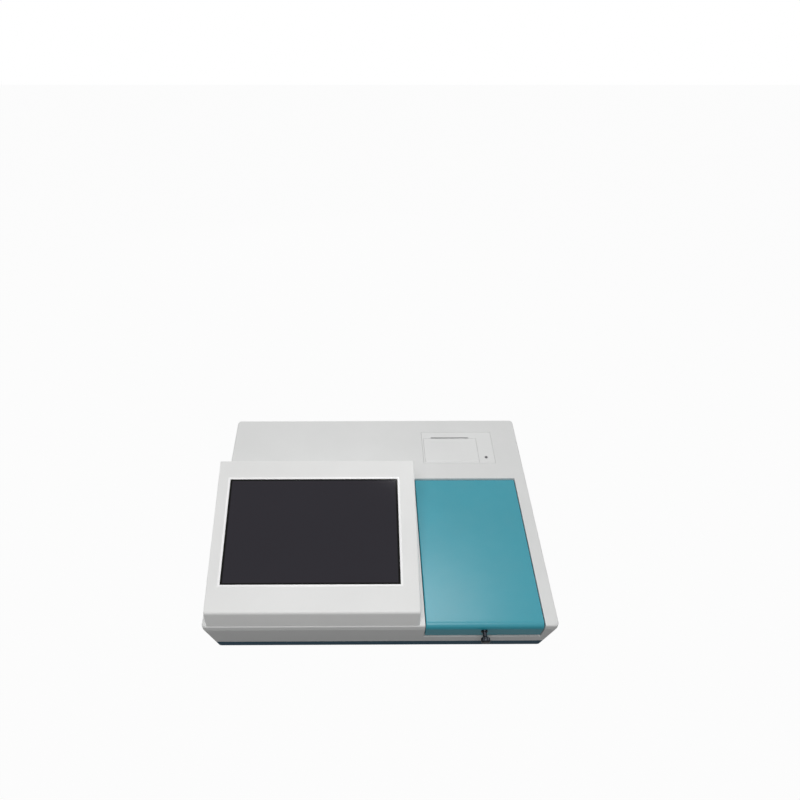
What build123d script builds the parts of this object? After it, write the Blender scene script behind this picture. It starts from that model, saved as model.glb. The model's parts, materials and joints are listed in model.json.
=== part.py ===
"""Rapid test reader: a wedge-shaped bench instrument with a raised screen pod, a lift-up
lid over a motorised test tray, and a small drop-in paper printer.

Millimetres. X runs to the right, Y to the back, Z up. The origin is on the surface that
the feet stand on, under the middle of the whole instrument.
"""

import os
from math import atan2, cos, degrees, radians, sin, tan

from build123d import *

os.makedirs("parts", exist_ok=True)

# ---------------------------------------------------------------- driving dimensions

# Case
case_width = 432.0
case_depth = 347.0
foot_height = 5.0
shoulder_height = 54.5  # front edge of the sloping deck, above the underside of the base
deck_slope = 8.3  # degrees
knee_height = 47.0  # the case's walls are upright above this and draw in below it
side_taper = 9.0  # how far each side draws in from the knee down to the base
front_taper = 8.9
wall = 3.0
corner_radius = 5.5
boss_radius = 5.5
boss_height = 22.0
boss_side_margin = 24.0  # from the case's sides, front and back to the middle of a screw boss
boss_front_margin = 22.0
boss_back_margin = 16.0
rib_thickness = 2.5
edge_radius = 2.5
base_height = 12.0
foot_margin = 42.0
foot_radius = 9.0
vent_width = 60.0
vent_slot = 3.0
case_screw_radius = 2.0
small_screw_radius = 1.5  # screws of the pod, the back panel, the inlet and the fan

# Fits
press_gap = 0.1  # radial gap of screws and pressed pins
running_gap = 0.05  # radial gap of shafts that turn or slide
seat_gap = 0.3
part_line = 0.6  # visible line between two mouldings
swing_gap = 1.2  # gap behind a cover whose tail swings

# Screen pod
pod_left = -209.7
pod_width = 257.0
pod_setback = 3.3
pod_front_height = 77.6
pod_back_height = 151.2
pod_run = 191.5  # level distance from the front edge to the back edge
pod_back_draft = 10.0
pod_front_draft = 2.5
pod_nose_radius = 4.5
pod_edge_radius = 1.5
post_radius = 4.5
post_height = 14.0
post_side_margin = 6.5
post_end_margin = 9.0
glass_width = 218.8
glass_height = 142.5
glass_left_margin = 15.8
glass_front_margin = 34.8
glass_recess = 0.3
opening_chamfer = 1.2
lcd_width = 229.0
lcd_height = 149.0
lcd_thickness = 5.0
bracket_sheet = 1.5
bracket_rim = 4.0
stud_height = 4.0
display_board_width = 120.0
display_board_length = 80.0

# Lid
lid_left = 55.1
lid_width = 143.3
lid_length = 227.3  # level distance from the shoulder to the lid's back edge
lid_wall = 3.0
lid_skirt = 10.0
lid_side_gap = 1.0
lid_nose_radius = 7.0
lid_edge_radius = 1.2
lid_tail_radius = 4.0
lip_bottom = 30.7  # above the underside of the base
hinge_setback = 14.0
hinge_drop = 7.0
hinge_pin_radius = 2.0
ear_radius = 6.0
ear_thickness = 5.0

# Lid knob
knob_height = 43.0
knob_stem_radius = 2.6
knob_head_radius = 5.6
knob_length = 15.0
knob_head_length = 6.5
knob_screw_radius = 1.5
knob_crown = 2.4
knob_collar = 1.4

# Test bay under the lid
sill_height = 25.0
bay_floor = 22.0
bay_wall = 2.5
tray_width = 118.0
tray_length = 90.0
tray_thickness = 8.0
tray_bottom = 36.0
tray_travel = 95.0
tray_start = 18.0
pocket_count = 4
pocket_pitch = 28.0
pocket_width = 20.6
pocket_length = 72.0
pocket_depth = 5.0
leg_radius = 5.0
leg_margin = 26.0
ledge_width = 7.0
ledge_start = 26.0
ledge_length = 12.0
pad_thickness = 1.5
rod_radius = 3.0
rod_spread = 90.0
rod_height = 29.5
screw_radius = 4.0
journal_radius = 2.5
bushing_size = 12.6
bushing_length = 24.0
support_length = 7.0
nut_width = 24.0
nut_length = 18.0
nut_drop = 6.5
motor_size = 28.2
motor_length = 28.0
motor_pilot_radius = 7.0
motor_screw_radius = 1.25
motor_screw_offset = 11.5

# Read head over the back half of the bay
head_start = 112.0
head_length = 84.0
head_wall = 2.5
head_half_width = 64.5
board_height = 56.0
board_thickness = 1.6
lens_radius = 5.0
lens_length = 7.0
read_line = 150.0

# Printer
panel_left = 70.5
panel_width = 106.0
panel_front = 257.7
panel_length = 63.0
panel_thickness = 2.5
flange_width = 4.0
door_margin = 2.5  # from the panel's edges to the door
door_width = 80.0
door_length = 47.5
door_pin_radius = 1.0
slot_width = 57.7
slot_gap = 2.4
bucket_floor = 46.5
bucket_wall = 2.5
platen_radius = 5.0
platen_shaft_radius = 2.0
roll_radius = 19.5
roll_width = 57.0
core_radius = 6.2
spindle_radius = 4.0
button_radius = 2.0
button_travel = 0.8
button_inset = 93.7  # from the panel's left edge
button_setback = 11.5

# Back panel; the insets run from its left edge
sheet = 2.0
back_margin = 29.0
back_width = 341.0
back_bottom = 19.0
back_height = 58.0
panel_lap = 8.0
port_height = 47.0
switch_inset = 20.0
inlet_inset = 64.0
lan_inset = 116.0
usb_inset = 144.0
fan_inset = 304.0
fan_size = 40.0
fan_thickness = 10.0

# Inside
board_standoff = 6.0
main_board_margin = 30.0  # from the case's left side
main_board_width = 150.0
main_board_length = 110.0
main_board_front = 45.0
supply_margin = 24.0
supply_setback = 40.0
supply_width = 82.0
supply_length = 110.0
supply_height = 34.0

# ---------------------------------------------------------------- derived places

slope = radians(deck_slope)
knob_axis_angle = degrees(atan2(front_taper, knee_height))
knob_setback = (knee_height - knob_height) * front_taper / knee_height
knob_reach = knob_length * cos(radians(knob_axis_angle)) - knob_setback
front = -(case_depth - knob_reach) / 2  # y of the shoulder; the knob stands in front of it
back = front + case_depth
ground = foot_height
shoulder = ground + shoulder_height
deck = Plane(origin=(0, front, shoulder), x_dir=(1, 0, 0), z_dir=(0, -sin(slope), cos(slope)))


def level(height):
    """Z of a height above the underside of the base."""
    return ground + height


def front_y(height):
    """Y of the case's front face at a height above the underside of the base."""
    return front + front_taper * max(0.0, knee_height - height) / knee_height


def deck_z(behind):
    """Z of the deck at a level distance behind the shoulder."""
    return shoulder + behind * tan(slope)


def up_deck(behind):
    """Distance along the deck for a level distance behind the shoulder."""
    return behind / cos(slope)


def off_deck(behind, drop):
    """Y and Z of the point that lies square below the deck by drop."""
    return (
        front + behind + drop * sin(slope),
        deck_z(behind) - drop * cos(slope),
    )


def block(xs, ys, zs, mode=Mode.ADD):
    """A box between two corners, in the part that is being built."""
    with Locations(((xs[0] + xs[1]) / 2, (ys[0] + ys[1]) / 2, (zs[0] + zs[1]) / 2)):
        Box(xs[1] - xs[0], ys[1] - ys[0], zs[1] - zs[0], mode=mode)


def rod_x(xs, y, z, radius, mode=Mode.ADD):
    """A cylinder along X between two ends."""
    with Locations(((xs[0] + xs[1]) / 2, y, z)):
        Cylinder(radius, xs[1] - xs[0], rotation=(0, 90, 0), mode=mode)


def rod_y(x, ys, z, radius, mode=Mode.ADD):
    """A cylinder along Y between two ends."""
    with Locations((x, (ys[0] + ys[1]) / 2, z)):
        Cylinder(radius, ys[1] - ys[0], rotation=(90, 0, 0), mode=mode)


def plane_block(plane, xs, us, ns, mode=Mode.ADD):
    """A box set square to a tilted plane, between two corners in that plane's own axes."""
    centre = ((xs[0] + xs[1]) / 2, (us[0] + us[1]) / 2, (ns[0] + ns[1]) / 2)
    with Locations(plane.location * Location(centre)):
        Box(xs[1] - xs[0], us[1] - us[0], ns[1] - ns[0], mode=mode)


def plane_rod(plane, x, u, ns, radius, mode=Mode.ADD):
    """A cylinder square to a tilted plane."""
    with Locations(plane.location * Location((x, u, (ns[0] + ns[1]) / 2))):
        Cylinder(radius, ns[1] - ns[0], mode=mode)


def plane_rod_x(plane, xs, u, n, radius, mode=Mode.ADD):
    """A cylinder along X, placed in a tilted plane's own axes."""
    with Locations(plane.location * Location(((xs[0] + xs[1]) / 2, u, n))):
        Cylinder(radius, xs[1] - xs[0], rotation=(0, 90, 0), mode=mode)


def centred(middle, size):
    """The two ends of a size that is centred on a middle."""
    return (middle - size / 2, middle + size / 2)


def pan_screw(place, radius, length):
    """A pan-head screw: its head stands on the place's plane and its shank goes down."""
    with Locations(place):
        Cylinder(radius * 1.9, radius * 1.2, align=(Align.CENTER, Align.CENTER, Align.MIN))
        Cylinder(radius, length, align=(Align.CENTER, Align.CENTER, Align.MAX))
        with Locations((0, 0, radius * 1.2)):
            Box(radius * 2.2, radius * 0.5, radius * 1.2, mode=Mode.SUBTRACT)
            Box(radius * 0.5, radius * 2.2, radius * 1.2, mode=Mode.SUBTRACT)


def finish(builder, name):
    """Label a finished piece and write it out."""
    builder.part.label = name
    export_step(builder.part, f"parts/{name}.step")


# ---------------------------------------------------------------- case


def outline(z, inset):
    """Width, depth and middle of the case at a height: it draws in below the shoulder."""
    below = max(0.0, (level(knee_height) - z) / knee_height)
    width = case_width - 2 * (side_taper * below + inset)
    depth = case_depth - front_taper * below - 2 * inset
    return width, depth, back - inset - depth / 2


def outline_sketch(z, inset):
    """The case's level outline at a height."""
    width, depth, middle = outline(z, inset)
    with BuildSketch(Plane.XY.offset(z)) as ring:
        with Locations((0, middle)):
            RectangleRounded(width, depth, corner_radius - inset)
    return ring.sketch


def tapered(low, high, inset):
    """The case's drawn-in lower part between two heights."""
    with BuildPart() as body:
        loft([*outline_sketch(low, inset).faces(), *outline_sketch(high, inset).faces()], ruled=True)
    return body.part


def case_form(low, inset):
    """The whole case above a height, under its sloping deck."""
    with BuildPart() as body:
        add(tapered(low, level(knee_height), inset))
        extrude(outline_sketch(level(knee_height), inset), amount=deck_z(case_depth) - level(knee_height))
        split(bisect_by=deck.offset(-inset), keep=Keep.BOTTOM)
        if inset == 0:
            rim = body.faces().filter_by(lambda face: face.normal_at().dot(deck.z_dir) > 0.999)
            fillet(rim.edges(), radius=edge_radius)
    return body.part


part_line_z = level(base_height)
bay_left = lid_left - lid_side_gap
bay_right = lid_left + lid_width + lid_side_gap
bay_back = front + lid_length + swing_gap
bay_rear = bay_back + 0.8  # the tub's rear wall, clear of the lid's swinging tail
bay_front = front + front_taper + wall + seat_gap
pod_right = pod_left + pod_width
pod_front = front + pod_setback
pod_back = pod_front + pod_run
foot_points = [
    (side * (case_width / 2 - foot_margin), front + behind)
    for side in (-1, 1)
    for behind in (foot_margin, case_depth - foot_margin)
]
case_screw_points = [
    (-case_width / 2 + boss_side_margin, front + boss_front_margin),
    (bay_left - boss_side_margin / 2 - 2, front + boss_front_margin),
    (-case_width / 2 + boss_side_margin, back - boss_back_margin),
    (case_width / 2 - boss_side_margin, back - boss_back_margin),
]
pod_screw_points = [
    (x, behind)
    for x in (pod_left + post_side_margin, pod_right - post_side_margin)
    for behind in (pod_setback + post_end_margin, pod_setback + pod_run - post_end_margin)
]


def make_base_tray():
    with BuildPart() as base_tray:
        add(tapered(ground, part_line_z, 0))
        add(tapered(ground + wall, part_line_z, wall), mode=Mode.SUBTRACT)
        for x, y in case_screw_points:
            with Locations((x, y, part_line_z)):
                Cylinder(boss_radius + 0.5, base_height, align=(Align.CENTER, Align.CENTER, Align.MAX))
                Cylinder(case_screw_radius + press_gap, base_height,
                         align=(Align.CENTER, Align.CENTER, Align.MAX), mode=Mode.SUBTRACT)
                with Locations((0, 0, -base_height)):
                    Cylinder(case_screw_radius * 2.2, 2 * wall, mode=Mode.SUBTRACT)
        # cooling slots under the power supply
        with Locations((sum(supply_xs) / 2, sum(supply_ys) / 2, ground + wall / 2)):
            with GridLocations(0, 3 * vent_slot, 1, 9):
                Box(vent_width, vent_slot, wall * 2, mode=Mode.SUBTRACT)
    finish(base_tray, "base_tray")


def make_feet():
    with BuildPart() as feet:
        for x, y in foot_points:
            with Locations((x, y, 0)):
                Cone(foot_radius - 1, foot_radius, foot_height, align=(Align.CENTER, Align.CENTER, Align.MIN))
    finish(feet, "feet")


def make_case_screws():
    with BuildPart() as case_screws:
        for x, y in case_screw_points:
            place = Location((x, y, ground + wall), (180, 0, 0))
            pan_screw(place, case_screw_radius, base_height + 5)
    finish(case_screws, "case_screws")


def make_housing():
    with BuildPart() as housing:
        add(case_form(part_line_z, 0))
        add(case_form(part_line_z, wall), mode=Mode.SUBTRACT)
        # bosses that take the case screws
        for x, y in case_screw_points:
            with Locations((x, y, part_line_z)):
                Cylinder(boss_radius, boss_height, align=(Align.CENTER, Align.CENTER, Align.MIN))
            # a rib ties each boss to the front or the back wall
            rib_ys = (front_y(base_height) + 0.5, y) if y < 0 else (y, back - wall / 2)
            block(centred(x, rib_thickness), rib_ys, (part_line_z, part_line_z + boss_height - 2))
            with Locations((x, y, part_line_z)):
                Cylinder(case_screw_radius + press_gap, 14, align=(Align.CENTER, Align.CENTER, Align.MIN),
                         mode=Mode.SUBTRACT)
        # the sill that shows as a thin ledge below the lid
        sill_top = level(sill_height)
        block((bay_left, bay_right), (front_y(sill_height) + 1, bay_front + wall),
              (sill_top - wall, sill_top))
        # openings: the bay, the space under the pod, the printer and the back panel
        block((bay_left, bay_right), (front - 5, bay_back), (sill_top, deck_z(case_depth)),
              mode=Mode.SUBTRACT)
        block((pod_left + 14, pod_right - 14), (pod_front + 14, pod_back - 4),
              (shoulder - 5, deck_z(case_depth)), mode=Mode.SUBTRACT)
        plane_block(deck, printer_xs, printer_us, (-2 * wall, wall), mode=Mode.SUBTRACT)
        block((back_left + panel_lap, back_left + back_width - panel_lap), (back - 2 * wall, back + 1),
              (level(back_bottom + panel_lap), level(back_bottom + back_height - panel_lap)),
              mode=Mode.SUBTRACT)
        # holes for the pod's and the back panel's screws
        for x, behind in pod_screw_points:
            plane_rod(deck, x, up_deck(behind), (-2 * wall, wall), small_screw_radius + press_gap,
                      mode=Mode.SUBTRACT)
        for x, z in back_screw_points:
            rod_y(x, (back - 2 * wall, back + 1), z, small_screw_radius + press_gap, mode=Mode.SUBTRACT)
    finish(housing, "housing")


# ---------------------------------------------------------------- screen pod


pod_low_edge = Vector(0, pod_front, level(pod_front_height))
pod_tilt = atan2(pod_back_height - pod_front_height, pod_run)
screen = Plane(origin=pod_low_edge, x_dir=(1, 0, 0), z_dir=(0, -sin(pod_tilt), cos(pod_tilt)))
glass_xs = (pod_left + glass_left_margin, pod_left + glass_left_margin + glass_width)
glass_us = (glass_front_margin, glass_front_margin + glass_height)
screen_middle = (sum(glass_xs) / 2, sum(glass_us) / 2)


def off_the_deck(edge):
    """True for the pod's edges that don't lie on the deck."""
    return edge.center().Z > deck_z(edge.center().Y - front) + 1


def pod_form(inset):
    """The pod's block on the deck, pulled in on every side but the open bottom."""
    low_front = pod_front - pod_front_draft
    low_back = pod_back + pod_back_draft
    corners = [
        (low_front, deck_z(low_front - front)),
        (pod_front, level(pod_front_height)),
        (pod_back, level(pod_back_height)),
        (low_back, deck_z(low_back - front)),
    ]
    with BuildPart() as form:
        with BuildSketch(Plane.YZ.offset(pod_left)):
            with BuildLine():
                Polyline(*corners, close=True)
            make_face()
        extrude(amount=pod_width)
        fillet(form.edges().filter_by(Axis.X).filter_by(off_the_deck).sort_by(Axis.Y)[0], radius=pod_nose_radius)
        sides = form.faces().filter_by(Axis.X).edges().filter_by(off_the_deck)
        tail = form.edges().filter_by(Axis.X).filter_by(off_the_deck).sort_by(Axis.Y)[-1]
        fillet([*sides, tail], radius=pod_edge_radius)
    if inset == 0:
        return form.part
    with BuildPart() as inner:
        with BuildSketch(Plane.YZ.offset(pod_left + inset)):
            with BuildLine():
                Polyline(
                    (low_front + inset, deck_z(low_front + inset - front) - 1),
                    (pod_front + inset, screen_z(inset, -inset)),
                    (pod_back - inset, screen_z(pod_run - inset, -inset)),
                    (low_back - inset, deck_z(low_back - inset - front) - 1),
                    close=True,
                )
            make_face()
        extrude(amount=pod_width - 2 * inset)
    return inner.part


def screen_z(behind, drop):
    """Z below the pod's sloping top, square to it by drop, at a level distance from its front."""
    return level(pod_front_height) + behind * tan(pod_tilt) + drop / cos(pod_tilt)


def make_screen_pod():
    with BuildPart() as screen_pod:
        add(pod_form(0))
        add(pod_form(wall), mode=Mode.SUBTRACT)
        plane_block(screen, glass_xs, glass_us, (-2 * wall, wall), mode=Mode.SUBTRACT)
        rim = screen_pod.faces().filter_by(lambda face: face.normal_at().dot(screen.z_dir) > 0.999)
        window = rim.sort_by(SortBy.AREA)[-1].inner_wires()
        chamfer(window.edges(), length=opening_chamfer)
        for x, behind in pod_screw_points:
            plane_rod(deck, x, up_deck(behind), (0, post_height), post_radius)
            plane_rod(deck, x, up_deck(behind), (-1, post_height - 4), small_screw_radius + press_gap,
                      mode=Mode.SUBTRACT)
    finish(screen_pod, "screen_pod")


def make_pod_screws():
    with BuildPart() as pod_screws:
        for x, behind in pod_screw_points:
            place = deck.location * Location((x, up_deck(behind), -wall), (180, 0, 0))
            pan_screw(place, small_screw_radius, wall + 8)
    finish(pod_screws, "pod_screws")


def make_touch_glass():
    with BuildPart() as touch_glass:
        plane_block(
            screen,
            (glass_xs[0] + seat_gap, glass_xs[1] - seat_gap),
            (glass_us[0] + seat_gap, glass_us[1] - seat_gap),
            (-wall, -glass_recess),
        )
    finish(touch_glass, "touch_glass")


lcd_under = -wall - lcd_thickness


def make_lcd_panel():
    with BuildPart() as lcd_panel:
        plane_block(screen, centred(screen_middle[0], lcd_width), centred(screen_middle[1], lcd_height),
                    (lcd_under, -wall))
    finish(lcd_panel, "lcd_panel")


def make_lcd_bracket():
    rim_width = lcd_width + 2 * bracket_rim
    rim_height = lcd_height + 2 * bracket_rim
    with BuildPart() as lcd_bracket:
        plane_block(screen, centred(screen_middle[0], rim_width), centred(screen_middle[1], rim_height),
                    (lcd_under - bracket_sheet, -wall))
        plane_block(screen, centred(screen_middle[0], lcd_width + 2 * seat_gap),
                    centred(screen_middle[1], lcd_height + 2 * seat_gap), (lcd_under, 0), mode=Mode.SUBTRACT)
        plane_block(screen, centred(screen_middle[0], lcd_width * 0.3),
                    centred(screen_middle[1], lcd_height * 0.3), (lcd_under - 5, lcd_under),
                    mode=Mode.SUBTRACT)
        for x in (-1, 1):
            for u in (-1, 1):
                plane_rod(screen, screen_middle[0] + x * 50, screen_middle[1] + u * 30,
                          (lcd_under - bracket_sheet - stud_height, lcd_under - bracket_sheet), 3)
    finish(lcd_bracket, "lcd_bracket")


def make_display_board():
    under = lcd_under - bracket_sheet - stud_height
    with BuildPart() as display_board:
        plane_block(screen, centred(screen_middle[0], display_board_width),
                    centred(screen_middle[1], display_board_length), (under - board_thickness, under))
        for x, u, width, length, height in (
            (-30, 10, 18, 18, 2.5), (20, -12, 12, 16, 2.5), (45, 25, 22, 6, 5),
        ):
            plane_block(screen, centred(screen_middle[0] + x, width), centred(screen_middle[1] + u, length),
                        (under - board_thickness - height, under - board_thickness))
    finish(display_board, "display_board")


# ---------------------------------------------------------------- bay, tray and drive


bay_middle = lid_left + lid_width / 2
rod_z = level(rod_height)
rod_xs = (bay_middle - rod_spread / 2, bay_middle + rod_spread / 2)
tray_ys = (front + tray_start, front + tray_start + tray_length)
support_ys = (bay_front + wall + seat_gap, bay_front + wall + seat_gap + support_length)
motor_face = bay_rear + bay_wall
hinge_behind = lid_length - hinge_setback
hinge_y, hinge_z = off_deck(hinge_behind, hinge_drop)
pin_length = lid_side_gap + lid_wall + ear_thickness + 1
ledge_ys = (front + ledge_start, front + ledge_start + ledge_length)
ledge_top = deck_z(ledge_start) - lid_skirt / cos(slope) - pad_thickness - seat_gap


def make_sample_bay():
    """The open-topped moulded tub under the lid."""
    with BuildPart() as sample_bay:
        block((bay_left - bay_wall, bay_right + bay_wall), (bay_front, bay_rear + bay_wall),
              (level(bay_floor - bay_wall), deck_z(case_depth)))
        block((bay_left, bay_right), (bay_front - 1, bay_rear), (level(bay_floor), deck_z(case_depth) + 1),
              mode=Mode.SUBTRACT)
        split(bisect_by=deck.offset(-wall), keep=Keep.BOTTOM)
        # bosses and holes for the lid's two hinge pins
        for side, x in ((-1, bay_left), (1, bay_right)):
            rod_x(sorted((x, x + side * bay_wall * 2)), hinge_y, hinge_z, hinge_drop - wall - 0.2)
            rod_x((x - 8, x + 8), hinge_y, hinge_z, hinge_pin_radius + press_gap, mode=Mode.SUBTRACT)
        # seats of the guide rods and the motor's pilot in the rear wall
        for x in rod_xs:
            rod_y(x, (bay_rear - 1, bay_rear + bay_wall + 1), rod_z, rod_radius + press_gap,
                  mode=Mode.SUBTRACT)
        rod_y(bay_middle, (bay_rear - 1, bay_rear + bay_wall + 1), rod_z, motor_pilot_radius + 1,
              mode=Mode.SUBTRACT)
        for side in (-1, 1):
            rod_y(bay_middle + side * motor_screw_offset, (bay_rear - 1, bay_rear + bay_wall + 1),
                  rod_z + motor_screw_offset, motor_screw_radius + press_gap, mode=Mode.SUBTRACT)
        # legs that carry the tub on the base
        for x in (bay_left + leg_margin, bay_right - leg_margin):
            for y in (bay_front + leg_margin, bay_rear - leg_margin):
                with Locations((x, y, ground + wall)):
                    Cylinder(leg_radius, bay_floor - bay_wall - wall,
                             align=(Align.CENTER, Align.CENTER, Align.MIN))
        # ledges that carry the lid's rubber pads
        for xs in ((bay_left, bay_left + ledge_width), (bay_right - ledge_width, bay_right)):
            block(xs, ledge_ys, (level(bay_floor), ledge_top))
    finish(sample_bay, "sample_bay")


def make_lid_pads():
    with BuildPart() as lid_pads:
        for xs in ((bay_left + 1, bay_left + ledge_width), (bay_right - ledge_width, bay_right - 1)):
            block(xs, (ledge_ys[0] + 1, ledge_ys[1] - 1), (ledge_top, ledge_top + pad_thickness))
        fillet(lid_pads.faces().filter_by(Axis.Z).sort_by(Axis.Z)[-2:].edges(), radius=0.5)
    finish(lid_pads, "lid_pads")


def make_guide_rods():
    with BuildPart() as guide_rods:
        for x in rod_xs:
            rod_y(x, (support_ys[0] + 1, bay_rear + bay_wall), rod_z, rod_radius)
    finish(guide_rods, "guide_rods")


def make_rod_support():
    """The block across the bay's front that holds the rods and the screw's front journal."""
    with BuildPart() as rod_support:
        block((bay_middle - tray_width / 2, bay_middle + tray_width / 2), support_ys,
              (level(bay_floor), level(tray_bottom) - seat_gap))
        for x in rod_xs:
            rod_y(x, (support_ys[0] - 1, support_ys[1] + 1), rod_z, rod_radius + press_gap,
                  mode=Mode.SUBTRACT)
        rod_y(bay_middle, (support_ys[0] - 1, support_ys[1] + 1), rod_z, journal_radius + running_gap,
              mode=Mode.SUBTRACT)
    finish(rod_support, "rod_support")


def make_tray_motor():
    with BuildPart() as tray_motor:
        with BuildSketch(Plane.XZ.offset(-motor_face)):
            with Locations((bay_middle, rod_z)):
                RectangleRounded(motor_size, motor_size, 3)
        extrude(amount=-motor_length)
        rod_y(bay_middle, (motor_face - 2, motor_face), rod_z, motor_pilot_radius)
        rod_y(bay_middle, (motor_face - 3, motor_face + motor_length + 1), rod_z,
              journal_radius + running_gap, mode=Mode.SUBTRACT)
    finish(tray_motor, "tray_motor")


def make_motor_screws():
    with BuildPart() as motor_screws:
        for side in (-1, 1):
            place = Location((bay_middle + side * motor_screw_offset, bay_rear, rod_z + motor_screw_offset),
                             (90, 0, 0))
            pan_screw(place, motor_screw_radius, bay_wall)
    finish(motor_screws, "motor_screws")


def make_lead_screw():
    """The drive screw: a long threaded stretch on the motor's own shaft."""
    with BuildPart() as lead_screw:
        rod_y(bay_middle, (support_ys[0] + 1, motor_face + motor_length - 2), rod_z, journal_radius)
        rod_y(bay_middle, (support_ys[1] + seat_gap, motor_face - 6), rod_z, screw_radius)
    finish(lead_screw, "lead_screw")


nut_ys = centred(sum(tray_ys) / 2 - nut_length / 2, nut_length)


def make_tray_nut():
    with BuildPart() as tray_nut:
        block(centred(bay_middle, nut_width), nut_ys, (rod_z - nut_drop, level(tray_bottom)))
        rod_y(bay_middle, (nut_ys[0] - 1, nut_ys[1] + 1), rod_z, screw_radius + running_gap,
              mode=Mode.SUBTRACT)
    finish(tray_nut, "tray_nut")


def make_tray_bushings():
    with BuildPart() as tray_bushings:
        for x in rod_xs:
            middle = sum(tray_ys) / 2
            block(centred(x, bushing_size), centred(middle, bushing_length),
                  (rod_z - bushing_size / 2, level(tray_bottom)))
            rod_y(x, centred(middle, bushing_length + 2), rod_z, rod_radius + running_gap, mode=Mode.SUBTRACT)
    finish(tray_bushings, "tray_bushings")


def make_test_tray():
    """The sliding tray with a pocket for each test cassette."""
    top = level(tray_bottom + tray_thickness)
    with BuildPart() as test_tray:
        with BuildSketch(Plane.XY.offset(level(tray_bottom))):
            with Locations((bay_middle, sum(tray_ys) / 2)):
                RectangleRounded(tray_width, tray_length, 4)
        extrude(amount=tray_thickness)
        fillet(test_tray.faces().sort_by(Axis.Z)[-1].edges(), radius=0.8)
        with BuildSketch(Plane.XY.offset(top)):
            with Locations((bay_middle, sum(tray_ys) / 2)):
                with GridLocations(pocket_pitch, 0, pocket_count, 1):
                    RectangleRounded(pocket_width, pocket_length, 1.5)
        extrude(amount=-pocket_depth, mode=Mode.SUBTRACT)
        # finger dips that cross the pockets
        rod_x(centred(bay_middle, tray_width + 2), tray_ys[0] + 16, top + 9, 14, mode=Mode.SUBTRACT)
    finish(test_tray, "test_tray")


head_ys = (front + head_start, front + head_start + head_length)
head_drop = lid_wall + 3.5


def head_form(inset):
    """The read head's housing, under a top that runs along the lid."""
    with BuildPart() as form:
        block(centred(bay_middle, 2 * (head_half_width - inset)), (head_ys[0] + inset, head_ys[1] - inset),
              (level(bay_floor) - inset, deck_z(case_depth)))
        split(bisect_by=deck.offset(-head_drop - inset), keep=Keep.BOTTOM)
    return form.part


def make_read_head_cover():
    inner_width = 2 * (head_half_width - head_wall)
    passage_top = level(tray_bottom + tray_thickness + 2)
    with BuildPart() as read_head_cover:
        add(head_form(0))
        add(head_form(head_wall), mode=Mode.SUBTRACT)
        block(centred(bay_middle, inner_width), (head_ys[0] - 1, head_ys[1] + 1),
              (level(bay_floor) - 1, passage_top), mode=Mode.SUBTRACT)
    finish(read_head_cover, "read_head_cover")


def make_read_head_board():
    inner_half = head_half_width - head_wall
    with BuildPart() as read_head_board:
        block(centred(bay_middle, 2 * (inner_half - seat_gap)),
              (head_ys[0] + head_wall + seat_gap, head_ys[1] - 12),
              (level(board_height), level(board_height) + board_thickness))
        for x in (-1, 1):
            block(centred(bay_middle + x * (inner_half - 3), 5),
                  (head_ys[0] + head_wall + 8, head_ys[1] - 20),
                  (level(board_height) + board_thickness, level(board_height) + 6))
    finish(read_head_board, "read_head_board")


def make_lenses():
    with BuildPart() as lenses:
        with Locations((bay_middle, front + read_line, level(board_height) - lens_length / 2)):
            with GridLocations(pocket_pitch, 0, pocket_count, 1):
                Cylinder(lens_radius, lens_length)
                with Locations((0, 0, -lens_length / 2)):
                    Cone(2, 3.8, 1.6, mode=Mode.SUBTRACT)
    finish(lenses, "lenses")


# ---------------------------------------------------------------- lid


lid_xs = (lid_left, lid_left + lid_width)
lid_back = front + lid_length
lip_y = front_y(lip_bottom)


def on_lid_top(edge):
    """True for the edges along the lid's top, nose and tail, as seen from the side."""
    point = edge.center()
    return point.Z > deck_z(point.Y - front) - lid_tail_radius or point.Y < front + lid_wall


def lid_shell():
    """The lid's mouldings: a plate with a skirt all round and a lip down the front."""
    low_front = off_deck(lid_wall + 4, lid_skirt)
    low_back = off_deck(lid_length, lid_skirt)
    lip_depth = lid_wall / cos(radians(knob_axis_angle))
    lip_top_y = front_y(low_front[1] - ground) + lip_depth
    lip_cut_y = front_y(low_front[1] - 1 - ground) + lip_depth
    lip_z = level(lip_bottom)
    with BuildPart() as shell:
        with BuildSketch(Plane.YZ.offset(lid_xs[0])):
            with BuildLine():
                Polyline(
                    (lid_back, deck_z(lid_length)),
                    (front, shoulder),
                    (front, level(knee_height)),
                    (lip_y, lip_z),
                    (lip_y + lip_depth, lip_z),
                    (lip_top_y, low_front[1]),
                    low_back,
                    close=True,
                )
            make_face()
        extrude(amount=lid_width)
        edges_across = shell.edges().filter_by(Axis.X)
        nose = edges_across.filter_by(lambda edge: edge.center().Y < front + 0.1).sort_by(Axis.Z)[-1]
        fillet(nose, radius=lid_nose_radius)
        fillet(shell.edges().filter_by(Axis.X).sort_by(Axis.Z)[-1], radius=lid_tail_radius)
        crest = shell.faces().filter_by(Axis.X).edges().filter_by(on_lid_top)
        fillet(crest, radius=lid_edge_radius)
        # the hollow under the plate
        with BuildSketch(Plane.YZ.offset(lid_xs[0] + lid_wall)):
            with BuildLine():
                Polyline(
                    (lid_back - lid_wall, deck_z(lid_length - lid_wall) - lid_wall / cos(slope)),
                    (front + lid_nose_radius + 1, deck_z(lid_nose_radius + 1) - lid_wall / cos(slope)),
                    (front + lip_depth, level(knee_height)),
                    (lip_cut_y, low_front[1] - 1),
                    (lid_back - lid_wall, low_back[1] - 2),
                    close=True,
                )
            make_face()
        extrude(amount=lid_width - 2 * lid_wall, mode=Mode.SUBTRACT)
    return shell.part


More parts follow.
